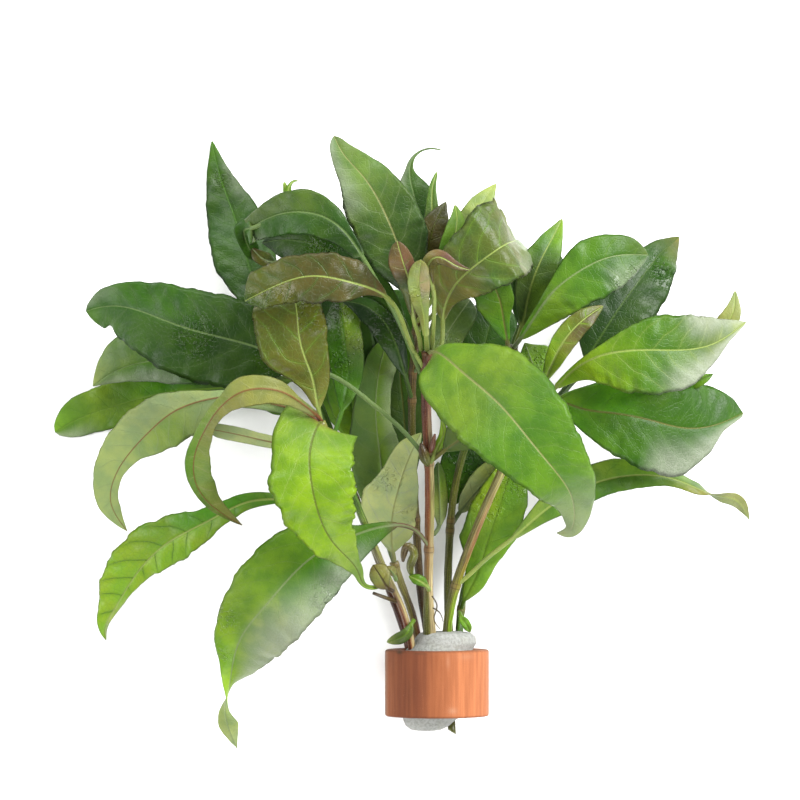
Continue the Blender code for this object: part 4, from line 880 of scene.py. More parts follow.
def stemMaterial():
    # Living stem: four-edged, glossy skin. The eye sees long streaks, pale flecks in rows
    # and a paler joint where each pair of leaves stood.
    made, tree, shader = newMaterial("herbStemSkin", Roughness=0.36, IOR=1.45,
                                     Specular_IOR_Level=0.25, Coat_Weight=0.10,
                                     Coat_Roughness=0.15)
    tone = addNode(tree, "Attribute", attribute_name="tone")
    spot = addNode(tree, "Attribute", attribute_name="stemSpot").outputs["Vector"]
    along, around, joint = addNode(tree, "SeparateXYZ", [spot]).outputs
    # streaks 0.4 mm wide and 8 mm long
    drawn = addNode(tree, "Mapping", {0: spot, 3: (0.12, 2.5, 0.0)})
    streak = addNode(tree, "TexNoise", {"Vector": drawn, "Scale": 1.0, "Detail": 3.0,
                                        "Roughness": 0.55})
    # flecks 0.9 mm apart along the stem and 0.5 mm round it
    dotted = addNode(tree, "Mapping", {0: spot, 3: (1.1, 2.0, 0.0)})
    dots = addNode(tree, "TexVoronoi", {"Vector": dotted, "Scale": 1.0, "Randomness": 0.8},
                   voronoi_dimensions="2D")
    fleck = addNode(tree, "MapRange", [dots, 0.10, 0.26, 0.45, 0], **soft)
    wide = addNode(tree, "MapRange", [streak, 0.30, 0.68, 0, 1], **soft)
    swing = addNode(tree, "Mix", {0: wide, 6: (0.52, 0.44, 0.42, 1), 7: (1.60, 1.50, 1.30, 1)},
                    **mixed)
    streaked = addNode(tree, "Mix", {0: 1.0, 6: tone, 7: swing}, **tinted)
    fleckShow = addNode(tree, "Math", [fleck, wide], **times)
    flecked = addNode(tree, "Mix", {0: fleckShow, 6: streaked, 7: (*linearColour("cream"), 1)},
                      **mixed)
    jointShow = addNode(tree, "Math", [joint, 0.45], **times)
    jointed = addNode(tree, "Mix", {0: jointShow, 6: flecked, 7: (*linearColour("tan"), 1)},
                      **mixed)
    offScar = addNode(tree, "Math", [joint, 0.72], operation="SUBTRACT")
    scarSpan = addNode(tree, "Math", [offScar], operation="ABSOLUTE")
    scar = addNode(tree, "MapRange", [scarSpan, 0.02, 0.12, 0.6, 0], **soft)
    scarred = addNode(tree, "Mix", {0: scar, 6: jointed, 7: (*linearColour("umber"), 1)}, **mixed)
    tree.links.new(scarred.outputs[2], shader.inputs["Base Color"])
    rough = addNode(tree, "MapRange", [streak, 0.3, 0.7, 0.46, 0.28], **soft)
    tree.links.new(rough.outputs[0], shader.inputs["Roughness"])
    height = addNode(tree, "Math", [fleck, 0.6, streak], operation="MULTIPLY_ADD")
    bump = addNode(tree, "Bump", {"Strength": 0.6, "Distance": 0.18 * mm, "Height": height})
    tree.links.new(bump.outputs[0], shader.inputs["Normal"])
    return made


# The clay's colour from the ring's right side over its top to its left side, as a share of
# the half turn, is painted light and shade: pale and bright on the right as a painted highlight,
# darker left of the middle as painted shade, greyed at the left as a painted floor reflection.
clayPaintedLight = dict(stops=[0.0, 0.12, 0.36, 0.50, 0.62, 0.76, 0.88, 1.0],
                 names="clayPale clayLight clayLight clay clayDark clayDark clay clayGrey")


def clayMaterial():
    # Unglazed terracotta, pressed and fired. The eye sees a dry, warm orange with soft
    # streaks along the pull, sandy grain and chalky flecks, and scuffed darker rims.
    made, tree, shader = newMaterial("firedTerracotta", Roughness=0.85, IOR=1.5,
                                     Specular_IOR_Level=0.3)
    spot = addNode(tree, "Attribute", attribute_name="claySpot").outputs["Vector"]
    mark = addNode(tree, "Attribute", attribute_name="clayMark").outputs["Vector"]
    around, upwards, rimGap = addNode(tree, "SeparateXYZ", [spot]).outputs
    scuff, chalk, turned = addNode(tree, "SeparateXYZ", [mark]).outputs
    # painted light and shade: a highlight on the right, shade and floor reflection on the left
    paintedLightRamp = addNode(tree, "ValToRGB", [turned])
    steps = paintedLightRamp.color_ramp.elements
    for stop, name in zip(clayPaintedLight["stops"][1:-1], clayPaintedLight["names"].split()[1:-1]):
        steps.new(stop).color = (*linearColour(name), 1)
    for k, name in ((0, clayPaintedLight["names"].split()[0]), (-1, clayPaintedLight["names"].split()[-1])):
        steps[k].color = (*linearColour(name), 1)
    # streaks 1.6 mm wide that run the ring's whole height
    drawn = addNode(tree, "Mapping", {0: spot, 3: (0.62, 0.035, 0.0)})
    streak = addNode(tree, "TexNoise", {"Vector": drawn, "Scale": 1.0, "Detail": 3.0})
    # sand grains of 0.35 mm, at the size that still shows
    sand = addNode(tree, "TexNoise", {"Vector": spot, "Scale": 2.9, "Detail": 3.0,
                                      "Roughness": 0.7})
    lime = addNode(tree, "TexNoise", {"Vector": spot, "Scale": 1.1, "Detail": 4.0,
                                      "Roughness": 0.75})
    pulled = addNode(tree, "MapRange", [streak, 0.30, 0.70, 0, 1], **soft)
    swing = addNode(tree, "Mix", {0: pulled, 6: (0.80, 0.74, 0.70, 1), 7: (1.18, 1.20, 1.24, 1)},
                    **mixed)
    body = addNode(tree, "Mix", {0: 0.8, 6: paintedLightRamp, 7: swing}, **tinted)
    dots = addNode(tree, "MapRange", [sand, 0.50, 0.74, 0, 0.32], **soft)
    sandy = addNode(tree, "Mix", {0: dots, 6: body, 7: (*linearColour("clayDark"), 1)}, **mixed)
    flecks = addNode(tree, "MapRange", [lime, 0.64, 0.74, 0, 0.55], **soft)
    flecked = addNode(tree, "Mix", {0: flecks, 6: sandy, 7: (*linearColour("clayPale"), 1)},
                      **mixed)
    chalky = addNode(tree, "Mix", {0: chalk, 6: flecked, 7: (*linearColour("clayPale"), 1)},
                     **mixed)
    rim = addNode(tree, "MapRange", [rimGap, 0.15, 0.9, 0.55, 0], **soft)
    rimSand = addNode(tree, "MapRange", [sand, 0.3, 0.6, 0, 1], **soft)
    rimShow = addNode(tree, "Math", [rim, rimSand], **times)
    rimmed = addNode(tree, "Mix", {0: rimShow, 6: chalky, 7: (*linearColour("clayEdge"), 1)},
                     **mixed)
    scuffed = addNode(tree, "Mix", {0: scuff, 6: rimmed, 7: (*linearColour("umber"), 1)}, **mixed)
    tree.links.new(scuffed.outputs[2], shader.inputs["Base Color"])
    height = addNode(tree, "Math", [streak, 0.8, sand], operation="MULTIPLY_ADD")
    bump = addNode(tree, "Bump", {"Strength": 0.5, "Distance": 0.20 * mm, "Height": height})
    tree.links.new(bump.outputs[0], shader.inputs["Normal"])
    return made


def woolMaterial():
    # Damp mineral wool: matted white fibres. The eye sees a fine speckled off-white.
    made, tree, shader = newMaterial("mineralWool", Roughness=0.95, IOR=1.4,
                                     Specular_IOR_Level=0.2)
    place = addNode(tree, "TexCoord").outputs["Object"]
    # tufts of 0.9 mm and fibres of 0.3 mm, thicker than real ones, so that they show
    tuft = addNode(tree, "TexNoise", {"Vector": place, "Scale": 1100.0, "Detail": 4.0,
                                      "Roughness": 0.7})
    hollow = addNode(tree, "TexVoronoi", {"Vector": place, "Scale": 2200.0})
    damp = addNode(tree, "TexNoise", {"Vector": place, "Scale": 190.0, "Detail": 3.0})
    speckle = addNode(tree, "MapRange", [tuft, 0.36, 0.60, 0, 1], **soft)
    body = addNode(tree, "Mix", {0: speckle, 6: (*linearColour("woolGrey"), 1),
                                 7: (*linearColour("wool"), 1)}, **mixed)
    dampness = addNode(tree, "MapRange", [damp, 0.5, 0.75, 0, 0.25], **soft)
    soaked = addNode(tree, "Mix", {0: dampness, 6: body, 7: (*linearColour("woolDamp"), 1)},
                     **mixed)
    tree.links.new(soaked.outputs[2], shader.inputs["Base Color"])
    height = addNode(tree, "Math", [hollow, 0.5, tuft], operation="MULTIPLY_ADD")
    bump = addNode(tree, "Bump", {"Strength": 0.6, "Distance": 0.25 * mm, "Height": height})
    tree.links.new(bump.outputs[0], shader.inputs["Normal"])
    return made


stemSkin = stemMaterial()
print("materials made")


# Each blade: half thickness and relief in mm, and how its side veins run.
blade = dict(
    half=0.17,        # half the blade's thickness
    petiole=0.75,     # half the petiole's width
    petioleThick=0.66,
    tipHalf=0.2,
    groove=0.22,      # depth of the midrib on the upper face
    keel=0.55,        # height of the midrib on the lower face
    quilt=0.16,       # swelling between side veins
    veinGap=8.2,      # distance between side veins along the midrib
    lean=0.50,        # how far a side vein runs forward for each mm outwards
    sweep=0.055,      # how much more it bends forward near the margin
    swell=0.45,       # slow rise and fall of the whole blade
    columns=27,
    rowStep=0.75,     # mm between rows
)


def bladeSurface(leaf, along, across, seed):
    # Middle surface of a leaf. A point is the midrib plus its share of the half width, turned
    # about the midrib by the blade's roll, folded up on both sides of it, dropped towards the
    # margin by the curl, waved along the margin by the wave, and slid along by lobe and horn.
    # Returns the surface, its normals, the share of the blade, the half widths and lengths in mm.
    points = placed(leaf["path"])
    centre = route(points, along)
    ahead = heading(points, along)
    side = unit(np.stack((-ahead[:, 1], ahead[:, 0], np.zeros(len(along))), axis=1))
    up = np.cross(ahead, side)
    start = knotsOf(points)[leaf["stalk"]]
    share = (along - start) / (1 - start)
    length = np.concatenate(([0], np.cumsum(np.linalg.norm(np.diff(centre, axis=0), axis=1)))) / mm
    blunt = leaf.get("blunt", 0.02)
    rounding = np.sqrt(np.clip(1 - np.clip((share - 1 + blunt) / blunt, 0, 1) ** 2, 0, 1))
    ripple = leaf.get("ripple", 0.025)
    onBlade = smooth(0, 0.06, share)[:, None]
    left = np.maximum(eased(leaf["left"], share) * rounding, blade["tipHalf"])
    right = np.maximum(eased(leaf["right"], share) * rounding, blade["tipHalf"])
    left = left * (1 + ripple * wander(length * 0.55, seed) * smooth(0.05, 0.3, share))
    right = right * (1 + ripple * wander(length * 0.55, seed + 5) * smooth(0.05, 0.3, share))
    bladeLength = length[-1] - np.interp(0, share, length)
    for nickSide, nickShare, nickLength, depth in leaf.get("nicks", []):
        dip = depth * np.exp(-((share - nickShare) * bladeLength / nickLength) ** 2)
        left, right = (left - dip, right) if nickSide > 0 else (left, right - dip)
    turn = np.radians(eased(leaf.get("turn", [0, 0]), share))
    fold = np.radians(leaf.get("fold", 6)) * onBlade
    s = across[None, :]
    half = np.where(s > 0, left[:, None], right[:, None])
    half = blade["petiole"] + (half - blade["petiole"]) * np.where(share > 0, 1, 0)[:, None]
    roll = turn[:, None] + fold * np.sign(s)
    outward = np.cos(roll)[..., None] * side[:, None] + np.sin(roll)[..., None] * up[:, None]
    normal = np.cos(roll)[..., None] * up[:, None] - np.sin(roll)[..., None] * side[:, None]
    height, step = leaf.get("wave", (0.4, 14))
    beat = 2 * np.pi * length[:, None] / step
    waved = height * np.abs(s) ** 2.2 * wander(beat * 0.8 + 1.3 * np.sign(s), seed)
    waved = waved * np.minimum(1, half / 6) * smooth(0.05, 0.3, share)[:, None]
    swelled = blade["swell"] * (wander(length * 0.21 + 1.9, seed)[:, None] * np.abs(s)
                                + 0.7 * wander(length * 0.33, seed + 3)[:, None] * s)
    swelled = swelled * np.minimum(1, half / 8) * smooth(0.02, 0.25, share)[:, None]
    drop = leaf.get("curl", 0.08) * half * s * s * onBlade - waved - swelled
    back, forward = leaf.get("lobe", (0, 0)), leaf.get("horn", (0, 0))
    slide = (np.where(s > 0, forward[0], forward[1]) * smooth(0.72, 1, share)[:, None]
             - np.where(s > 0, back[0], back[1]) * (1 - smooth(0, 0.25, share))[:, None])
    slide = slide * np.abs(s) ** 1.6 * np.where(share > 0, 1, 0)[:, None]
    surface = (centre[:, None] + (s * half * mm)[..., None] * outward
               - (drop * mm)[..., None] * normal + (slide * mm)[..., None] * ahead[:, None])
    return surface, normal, share, half, length


def growLeaf(name, leaf, seed, replaced=None):
    # A closed leaf: the middle surface with a skin on each side. The skins stand apart by the
    # blade's thickness, rounded off at the margin, and by the petiole's round section below it.
    # The midrib is a groove above and a keel below, and the blade swells between side veins,
    # which follow along = start + lean * across + sweep * across^2.
    points = placed(leaf["path"])
    total = np.linalg.norm(np.diff(points, axis=0), axis=1).sum() / mm
    start = knotsOf(points)[leaf["stalk"]]
    stalkRows = max(4, int(total * start / 1.2))
    bladeRows = max(18, int(total * (1 - start) / blade["rowStep"]))
    along = np.concatenate((np.linspace(0, start, stalkRows, endpoint=False),
                            np.linspace(start, 1, bladeRows + 1)))
    columns = leaf.get("columns", blade["columns"])
    u = np.linspace(-1, 1, columns)
    across = np.sign(u) * np.abs(u) ** 1.45
    surface, normal, share, half, length = bladeSurface(leaf, along, across, seed)
    s = np.broadcast_to(across[None, :], half.shape)
    out = s * half
    bladeStart = np.interp(0, share, length)
    gap = leaf.get("veinGap", blade["veinGap"])
    phase = (length[:, None] - bladeStart - blade["lean"] * np.abs(out)
             - blade["sweep"] * out ** 2) / gap + np.where(s > 0, 0.43, 0.0) + 0.37 * seed
    phase = phase + 0.22 * wander(length * 0.16, seed)[:, None] * np.where(s > 0, 1, -0.7)
    under = leaf["finish"] == "under"
    face = -1 if under else 1
    onBlade = smooth(0, 0.10, share)[:, None]
    taper = 1 - 0.75 * np.clip(share, 0, 1)[:, None]
    ribHalf = 0.62 * taper + 0.10
    rib = np.exp(-(out / ribHalf) ** 2) * onBlade
    quilt = (blade["quilt"] * leaf.get("quilt", 1) * (1.6 if leaf["finish"] == "young" else 1)
             * np.cos(2 * np.pi * phase) * np.abs(s) * (1 - np.abs(s) ** 3) * 2
             * np.minimum(1, half / 8) * onBlade * face)
    roundOff = np.sqrt(np.clip(1 - s ** 2, 0, 1))
    thin = blade["half"] * np.clip(1 - np.abs(s) ** 6, 0, 1)
    body = blade["petioleThick"] * roundOff * (1 - onBlade) + thin * onBlade
    upper = body + quilt
    lower = -body + quilt
    if under:
        upper = upper + blade["keel"] * rib * taper
        lower = lower + blade["groove"] * rib * taper
    else:
        upper = upper - blade["groove"] * rib * taper
        lower = lower - blade["keel"] * rib * taper
    closed = np.abs(s) > 0.9999
    both = (upper + lower) / 2
    upper = np.where(closed, both, upper)
    top = surface + (upper * mm)[..., None] * normal
    bottom = surface + (lower * mm)[..., None] * normal
    rings = np.concatenate((top, bottom[:, -2:0:-1]), axis=1)
    rows, sides = rings.shape[:2]
    faces = ringFaces(rows, sides, turned=True)
    for row, order in ((0, 1), (rows - 1, -1)):
        first = row * sides
        caps = [(first, first + 1, first + sides - 1),
                (first + columns - 2, first + columns - 1, first + columns)]
        caps += [(first + j, first + j + 1, first + sides - j - 1, first + sides - j)
                 for j in range(1, columns - 2)]
        faces += [cap[::order] for cap in caps]
    piece = makePiece(name, rings.reshape(-1, 3), faces, leafMaterials[leaf["finish"]],
                      replaced)

    def wrapped(grid, back=None):
        # The upper skin's values, then the lower skin's, in the order of the rings.
        back = grid if back is None else back
        return np.concatenate((grid, back[:, -2:0:-1]), axis=1).reshape(rows * sides, -1)

    names = leaf["tones"].split()
    clear = np.clip(share, 0, 1)
    tone = np.broadcast_to(tonesAlong(names, clear)[:, None], (*half.shape, 3))
    # left half: partly its own colour, partly painted light and shade of a half facing the light
    if "leftTonesAndShading" in leaf:
        other = tonesAlong(leaf["leftTonesAndShading"].split(), clear)[:, None]
        tone = tone + (other - tone) * smooth(-0.25, 0.25, s)[..., None]
    stalkTone = linearColour(leaf.get("petiole", leaf["rib"]))
    tone = stalkTone + (tone - stalkTone) * smooth(-0.02, 0.05, share)[:, None, None]
    pale = tone * 0.45 + linearColour("celadon") * 0.5
    dark = tone * 0.5 + linearColour("leaf") * 0.35
    back = dark if under else pale
    opaque = np.ones((*half.shape, 1))
    addAttribute(piece.data, "tone", "FLOAT_COLOR",
                 wrapped(np.concatenate((tone, opaque), -1), np.concatenate((back, opaque), -1)))
    for key in ("vein", "rib"):
        colour = np.broadcast_to(linearColour(leaf[key]), tone.shape)
        addAttribute(piece.data, key + "Tone", "FLOAT_COLOR",
                     wrapped(np.concatenate((colour, opaque), -1)))
    edge = (1 - np.abs(s)) * half * onBlade + 3 * (1 - onBlade)
    longways = np.broadcast_to(length[:, None], half.shape)
    addAttribute(piece.data, "bladeSpot", "FLOAT_VECTOR",
                 wrapped(np.stack((longways + 7 * seed, out, edge), -1)))
    sideways = out / ribHalf * 1.3
    addAttribute(piece.data, "veinSpot", "FLOAT_VECTOR",
                 wrapped(np.stack((phase, sideways, np.broadcast_to(clear[:, None], s.shape)), -1)))
    # a pale sheen painted into the colour over a stretch of the blade, towards one side
    sheenAndWaterFilm = np.zeros(half.shape)
    for which, low, high, amount in leaf.get("paintedSheen", []):
        window = smooth(low - 0.12, low + 0.05, share) * (1 - smooth(high, high + 0.12, share))
        reach = smooth(0.05, 0.85, s * which) if which else 1
        sheenAndWaterFilm = np.maximum(sheenAndWaterFilm, amount * window[:, None] * reach)
    wet = np.zeros(half.shape)
    for spotShare, spotSide, size in leaf.get("wet", []):
        gone = (((share - spotShare)[:, None] * total * (1 - start)) ** 2
                + ((s - spotSide) * half) ** 2) / size ** 2
        wet = np.maximum(wet, np.exp(-gone))
    addAttribute(piece.data, "paintedSheenAndWet", "FLOAT_VECTOR",
                 wrapped(np.stack((sheenAndWaterFilm, wet, np.zeros(half.shape)), -1)))
    return piece


for index, (name, leaf) in enumerate(leaves.items()):
    growLeaf(name + "_fine", leaf, index + 1, name)
for index, (name, leaf) in enumerate(bits.items()):
    growLeaf(name, leaf, index + 61)
print("leaves grown:", len(leaves) + len(bits))


stemLook = dict(
    edges=0.05,      # how far the four edges stand out, as a share of the radius
    joint=0.20,      # swelling at a joint
    jointLength=1.5, # mm
    sides=24,
    rowStep=0.8,     # mm
)


def growTube(name, stem, seed, replaced=None, joints=()):
    # A closed tube round a route: its radius follows the radii, times one plus a four-edged wave
    # round it, a bell of swelling at each joint and a slight wander along it. A cut foot slants.
    points = placed(stem["path"])
    length = np.linalg.norm(np.diff(points, axis=0), axis=1).sum() / mm
    rows = max(6, int(length / stemLook["rowStep"]))
    share = np.linspace(0, 1, rows)
    axis = route(points, share)
    ahead = heading(points, share)
    side = unit(np.stack((-ahead[:, 1], ahead[:, 0], np.zeros(rows)), axis=1))
    up = np.cross(ahead, side)
    angle = np.arange(stemLook["sides"]) * 2 * math.pi / stemLook["sides"]
    along = share * length
    swelling = np.zeros(rows)
    for joint in joints:
        swelling = np.maximum(swelling,
                              np.exp(-((along - joint * length) / stemLook["jointLength"]) ** 2))
    radius = eased(stem["radii"], share) * (1 + stemLook["joint"] * swelling
                                            + 0.03 * wander(along * 0.5, seed))
    foot, top = radius[0], radius[-1]
    edged = 1 + stemLook["edges"] * np.cos(4 * angle + 0.8)
    wide = (radius[:, None] * edged[None, :] * mm)[..., None]
    rings = axis[:, None] + wide * (np.cos(angle)[None, :, None] * side[:, None]
                                    + np.sin(angle)[None, :, None] * up[:, None])
    if stem.get("cut"):
        reach = np.exp(-along / 2.0)[:, None, None]
        rings = rings + (0.7 * foot * mm * reach * np.cos(angle)[None, :, None] * ahead[0])
    sides = stemLook["sides"]
    # each end closes on a middle point, a little inside a cut foot and outside a grown top
    ends = np.stack((rings[0].mean(axis=0) + (0.1 * mm) * ahead[0],
                     rings[-1].mean(axis=0) + (0.3 * top * mm) * ahead[-1]))
    verts = np.concatenate((rings.reshape(-1, 3), ends))
    faces = ringFaces(rows, sides)
    last = (rows - 1) * sides
    faces += [((j + 1) % sides, j, rows * sides) for j in range(sides)]
    faces += [(last + j, last + (j + 1) % sides, rows * sides + 1) for j in range(sides)]
    piece = makePiece(name, verts, faces, stemSkin, replaced)
    names = stem["tones"].split()
    other = stem.get("rightTonesAndHighlight", stem["tones"]).split()
    # right side, towards the brightest soft box: mostly a painted highlight
    rightLitSide = smooth(-0.1, 0.45, -np.cos(angle))[None, :, None]
    tone = (tonesAlong(names, share)[:, None] * (1 - rightLitSide)
            + tonesAlong(other, share)[:, None] * rightLitSide)
    tone = np.concatenate((tone.reshape(-1, 3), tonesAlong(names, np.array([0.0, 1.0]))))
    addAttribute(piece.data, "tone", "FLOAT_COLOR",
                 np.concatenate((tone, np.ones((len(tone), 1))), axis=1))
    around = np.minimum(angle, 2 * math.pi - angle) * stem["radii"][0]
    spot = np.stack((np.broadcast_to(along[:, None], (rows, sides)) + 13 * seed,
                     np.broadcast_to(around[None, :], (rows, sides)),
                     np.broadcast_to(swelling[:, None], (rows, sides))), axis=-1).reshape(-1, 3)
    addAttribute(piece.data, "stemSpot", "FLOAT_VECTOR",
                 np.concatenate((spot, [[13 * seed, 0, 0], [along[-1] + 13 * seed, 0, 0]])))
    return piece


def jointsOf(name, stem):
    # Shares of a stem's length nearest to the feet of the leaves that grow on it.
    share = np.linspace(0, 1, 300)
    axis = route(placed(stem["path"]), share)
    feet = [placed(leaf["path"][:1])[0] for key, leaf in leaves.items() if leaf["stem"] == name]
    return [share[np.linalg.norm(axis - foot, axis=1).argmin()] for foot in feet]


for index, (name, stem) in enumerate(stems.items()):
    growTube(name + "_fine", stem, index + 1, name, jointsOf(name, stem))
for index, (name, stalk) in enumerate(stalks.items()):
    growTube(name, stalk, index + 21)
print("stems grown:", len(stems) + len(stalks))


# Marks on the ring's front: kind, mm to the right of its axis, mm above its foot, half width
# and half height in mm, and strength.
ringMarks = [("scuff", -12.6, 22.0, 1.0, 0.6, 0.9), ("chalk", 5.2, 2.6, 1.4, 1.0, 0.55),
             ("chalk", 3.6, 19.0, 0.5, 2.0, 0.35), ("chalk", 9.5, 20.5, 2.6, 0.9, 0.3),
             ("scuff", -6.0, 21.6, 2.4, 0.35, 0.35), ("scuff", -9.5, 8.0, 1.2, 5.0, 0.12)]


def turnRing():
    # The ring's wall: an outline of radius and height with rounded rims, carried round the
    # axis, with a wander of 0.05 mm in the radius, because it was pressed by hand.
    outer, bore, top, edge = ring["outer"] / 2, ring["bore"] / 2, ring["height"], ring["edge"]
    bend = np.linspace(0, math.pi / 2, 7)
    corners = ((outer - edge, top - edge, 0), (bore + edge, top - edge, 1),
               (bore + edge, edge, 2), (outer - edge, edge, 3))
    profile = []
    starts = {0: (outer, np.linspace(edge, top - edge, 40)[1:-1])}
    profile += [(outer, h) for h in starts[0][1]]
    for x, y, quarter in corners:
        a = bend + quarter * math.pi / 2
        profile += list(zip(x + edge * np.cos(a), y + edge * np.sin(a)))
        if quarter == 0:
            profile += [(r, top) for r in np.linspace(outer - edge, bore + edge, 8)[1:-1]]
        if quarter == 1:
            profile += [(bore, h) for h in np.linspace(top - edge, edge, 12)[1:-1]]
        if quarter == 2:
            profile += [(r, 0.0) for r in np.linspace(bore + edge, outer - edge, 8)[1:-1]]
    profile = np.array(profile)
    turns = 192
    angle = np.arange(turns) * 2 * math.pi / turns
    radius, height = profile[:, 0], profile[:, 1]
    onWall = smooth(bore + 1, outer, radius)
    worn = 0.05 * wander(angle[:, None] * 7, 3) * wander(height[None, :] * 0.6, 2) * onWall[None]
    chip = 0.10 * np.clip(wander(angle[:, None] * 23, 9) - 0.75, 0, 1) * (
        np.abs(height[None] - top / 2) > top / 2 - edge)
    r = radius[None, :] + worn - chip * onWall[None]
    x = ringMiddleX / mm + r * np.cos(angle)[:, None]
    z = ring["outer"] / 2 - r * np.sin(angle)[:, None]
    y = ringLow.y / mm + np.broadcast_to(height[None, :], r.shape)
    verts = np.stack((x, y, z), axis=-1).reshape(-1, 3) * mm
    count = len(profile)
    rings = ringFaces(turns + 1, count, turned=True)
    faces = [[k % (turns * count) for k in face] for face in rings]
    piece = makePiece("ring_fine", verts, faces, clayMaterial(), "ring")
    rimGap = np.minimum(height, top - height)[None, :] + 0 * r
    around = np.minimum(angle, 2 * math.pi - angle)[:, None] * radius[None, :]
    addAttribute(piece.data, "claySpot", "FLOAT_VECTOR",
                 np.stack((around, height[None, :] + 0 * r, rimGap), -1))
    # share of the half turn from the right side, which sets the painted light and shade
    turned = np.minimum(angle, 2 * math.pi - angle)[:, None] / math.pi + 0 * r
    marks = {kind: np.zeros(r.shape) for kind in ("scuff", "chalk")}
    for kind, across, upwards, wide, tall, amount in ringMarks:
        gone = ((x - ringMiddleX / mm - across) / wide) ** 2 + ((height - upwards) / tall) ** 2
        marks[kind] = np.maximum(marks[kind], amount * np.exp(-gone) * (z > ring["outer"] / 2))
    addAttribute(piece.data, "clayMark", "FLOAT_VECTOR",
                 np.stack((marks["scuff"], marks["chalk"], turned), -1))
    return piece


turnRing()
print("ring turned")


plug = dict(
    # distance above the ring's foot, shift to the right and radius, in mm
    circles=[(-4.9, -3.6, 2.6), (-4.5, -3.6, 5.2), (-3.2, -3.2, 7.4), (-1.4, -2.6, 8.7),
             (0.0, -1.6, 10.0), (1.2, 0, 11.7), (21.4, 0, 11.7), (22.8, 1.2, 11.0),
             (24.4, 2.6, 10.6), (26.6, 2.9, 10.2), (28.0, 2.8, 8.6), (28.5, 2.6, 5.0)],
    rows=90,
    sides=120,
    tuft=0.13,       # mm
)


def packPlug():
    # A stack of circles whose level, shift and radius run smoothly from one end to the other,
    # roughened by tufts that are left out inside the ring's bore.
    circles = np.array(plug["circles"])
    share = np.linspace(0, 1, plug["rows"])
    heights = np.concatenate(([0], np.cumsum(np.linalg.norm(np.diff(circles, axis=0), axis=1))))
    at = share * heights[-1]
    levelMm, shift, radius = (np.interp(at, heights, circles[:, k]) for k in range(3))
    for _ in range(3):
        radius[1:-1] = (radius[:-2] + 2 * radius[1:-1] + radius[2:]) / 4
    angle = np.arange(plug["sides"]) * 2 * math.pi / plug["sides"]
    a = angle[None, :]
    rough = (wander(a * 9 + at[:, None] * 1.1, 4) * wander(at[:, None] * 1.9 - a * 5, 7)
             + 0.6 * wander(a * 31, 2) * wander(at[:, None] * 4.3, 5))
    free = 1 - smooth(0.0, 1.0, levelMm) * (1 - smooth(21.6, 22.4, levelMm))
    r = radius[:, None] + plug["tuft"] * rough * free[:, None]
    up = levelMm[:, None] + plug["tuft"] * 0.6 * rough * free[:, None]
    x = ringMiddleX / mm + shift[:, None] + r * np.cos(a)
    z = ring["outer"] / 2 - r * np.sin(a)
    y = ringLow.y / mm + up
    rings = np.stack((x, y, z), axis=-1)
    ends = np.stack((rings[0].mean(axis=0), rings[-1].mean(axis=0)))
    verts = np.concatenate((rings.reshape(-1, 3), ends)) * mm
    rows, sides = plug["rows"], plug["sides"]
    last = (rows - 1) * sides
    faces = ringFaces(rows, sides)
    faces += [((j + 1) % sides, j, rows * sides) for j in range(sides)]
    faces += [(last + j, last + (j + 1) % sides, rows * sides + 1) for j in range(sides)]
    piece = makePiece("foam_plug_fine", verts, faces, woolMaterial(), "foam_plug")
    return piece


packPlug()
print("plug packed")


# Four soft boxes stand round the table and the ceiling stays dim, so that level leaves show
# their own colour and only those that slope catch a sheen.
studio = dict(
    floorHalf=3.0,        # metres
    boxes=dict(right=((1.6, 0.9, 1.35), 1.3, 144.0), upper=((-0.4, 1.9, 1.2), 1.2, 56.0),
               left=((-1.8, -0.2, 1.2), 1.2, 47.0), lower=((0.3, -1.8, 1.1), 1.2, 41.0)),
    ceiling=0.31,
)


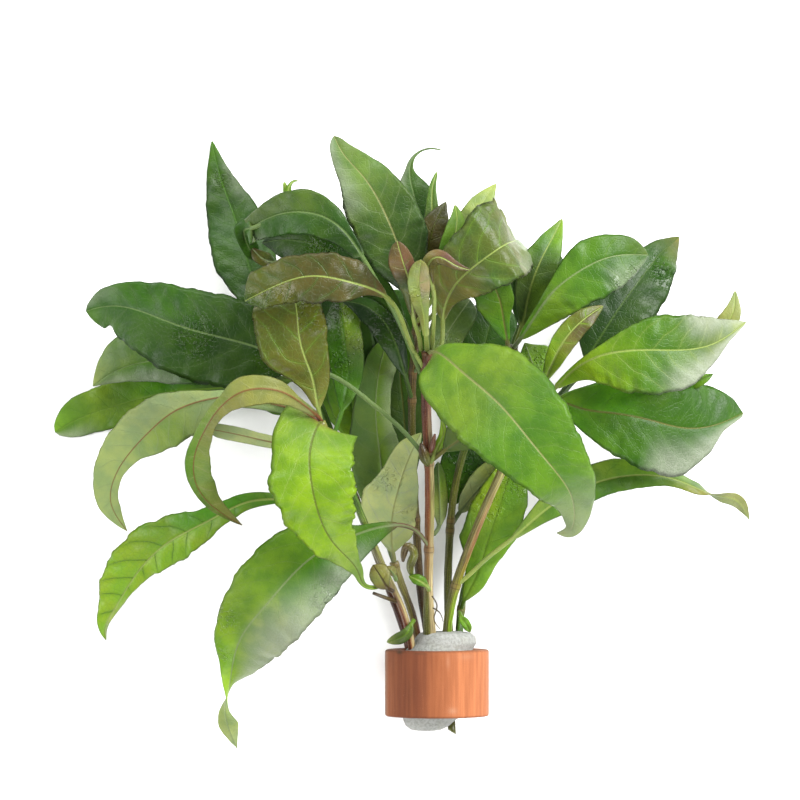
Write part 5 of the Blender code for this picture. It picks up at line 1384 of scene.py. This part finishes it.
def paleFloor():
    half = studio["floorHalf"]
    made, tree, shader = newMaterial("paleStudioSheet", Roughness=0.7)
    place = addNode(tree, "TexCoord").outputs["Object"]
    # faint paper tooth, 2 mm
    tooth = addNode(tree, "TexNoise", {"Vector": place, "Scale": 500.0})
    tone = addNode(tree, "Mix", {0: tooth, 6: (0.86, 0.86, 0.86, 1), 7: (0.90, 0.90, 0.90, 1)},
                   **mixed)
    tree.links.new(tone.outputs[2], shader.inputs["Base Color"])
    mesh = bpy.data.meshes.new("studio_floor")
    mesh.from_pydata([(-half, -half, 0), (half, -half, 0), (half, half, 0), (-half, half, 0)], [],
                     [(0, 1, 2, 3)])
    mesh.materials.append(made)
    floor = bpy.data.objects.new("studio_floor", mesh)
    bpy.context.scene.collection.objects.link(floor)


def softLight(name, place, size, power):
    light = bpy.data.lights.new(name, "AREA")
    light.shape = "SQUARE"
    light.size = size
    light.energy = power
    lamp = bpy.data.objects.new(name, light)
    lamp.location = place
    direction = -np.array(place)
    lamp.rotation_euler = (math.atan2(math.hypot(direction[0], direction[1]), -direction[2]), 0,
                           math.atan2(direction[1], direction[0]) - math.pi / 2)
    bpy.context.scene.collection.objects.link(lamp)


def overheadCamera():
    # Straight above the photograph's middle; the lens makes 800 pixels span what they span.
    camera = bpy.data.cameras.new("camera")
    span = photo["size"] * pixel / (photo["cameraHeight"] - level)
    camera.sensor_width = photo["sensor"]
    camera.lens = photo["sensor"] / span
    camera.clip_start = 0.05
    camera.clip_end = 20
    holder = bpy.data.objects.new("camera", camera)
    holder.location = (middleX, middleY, photo["cameraHeight"])
    bpy.context.scene.collection.objects.link(holder)
    bpy.context.scene.camera = holder


paleFloor()
for name, (place, size, power) in studio["boxes"].items():
    softLight(name + "_softbox", place, size, power)
sky = bpy.data.worlds.new("studio")
sky.use_nodes = True
sky.node_tree.nodes["Background"].inputs["Color"].default_value = (1, 1, 1, 1)
sky.node_tree.nodes["Background"].inputs["Strength"].default_value = studio["ceiling"]
bpy.context.scene.world = sky
bpy.context.scene.view_settings.view_transform = "Standard"
overheadCamera()
print("floor, light and camera set")
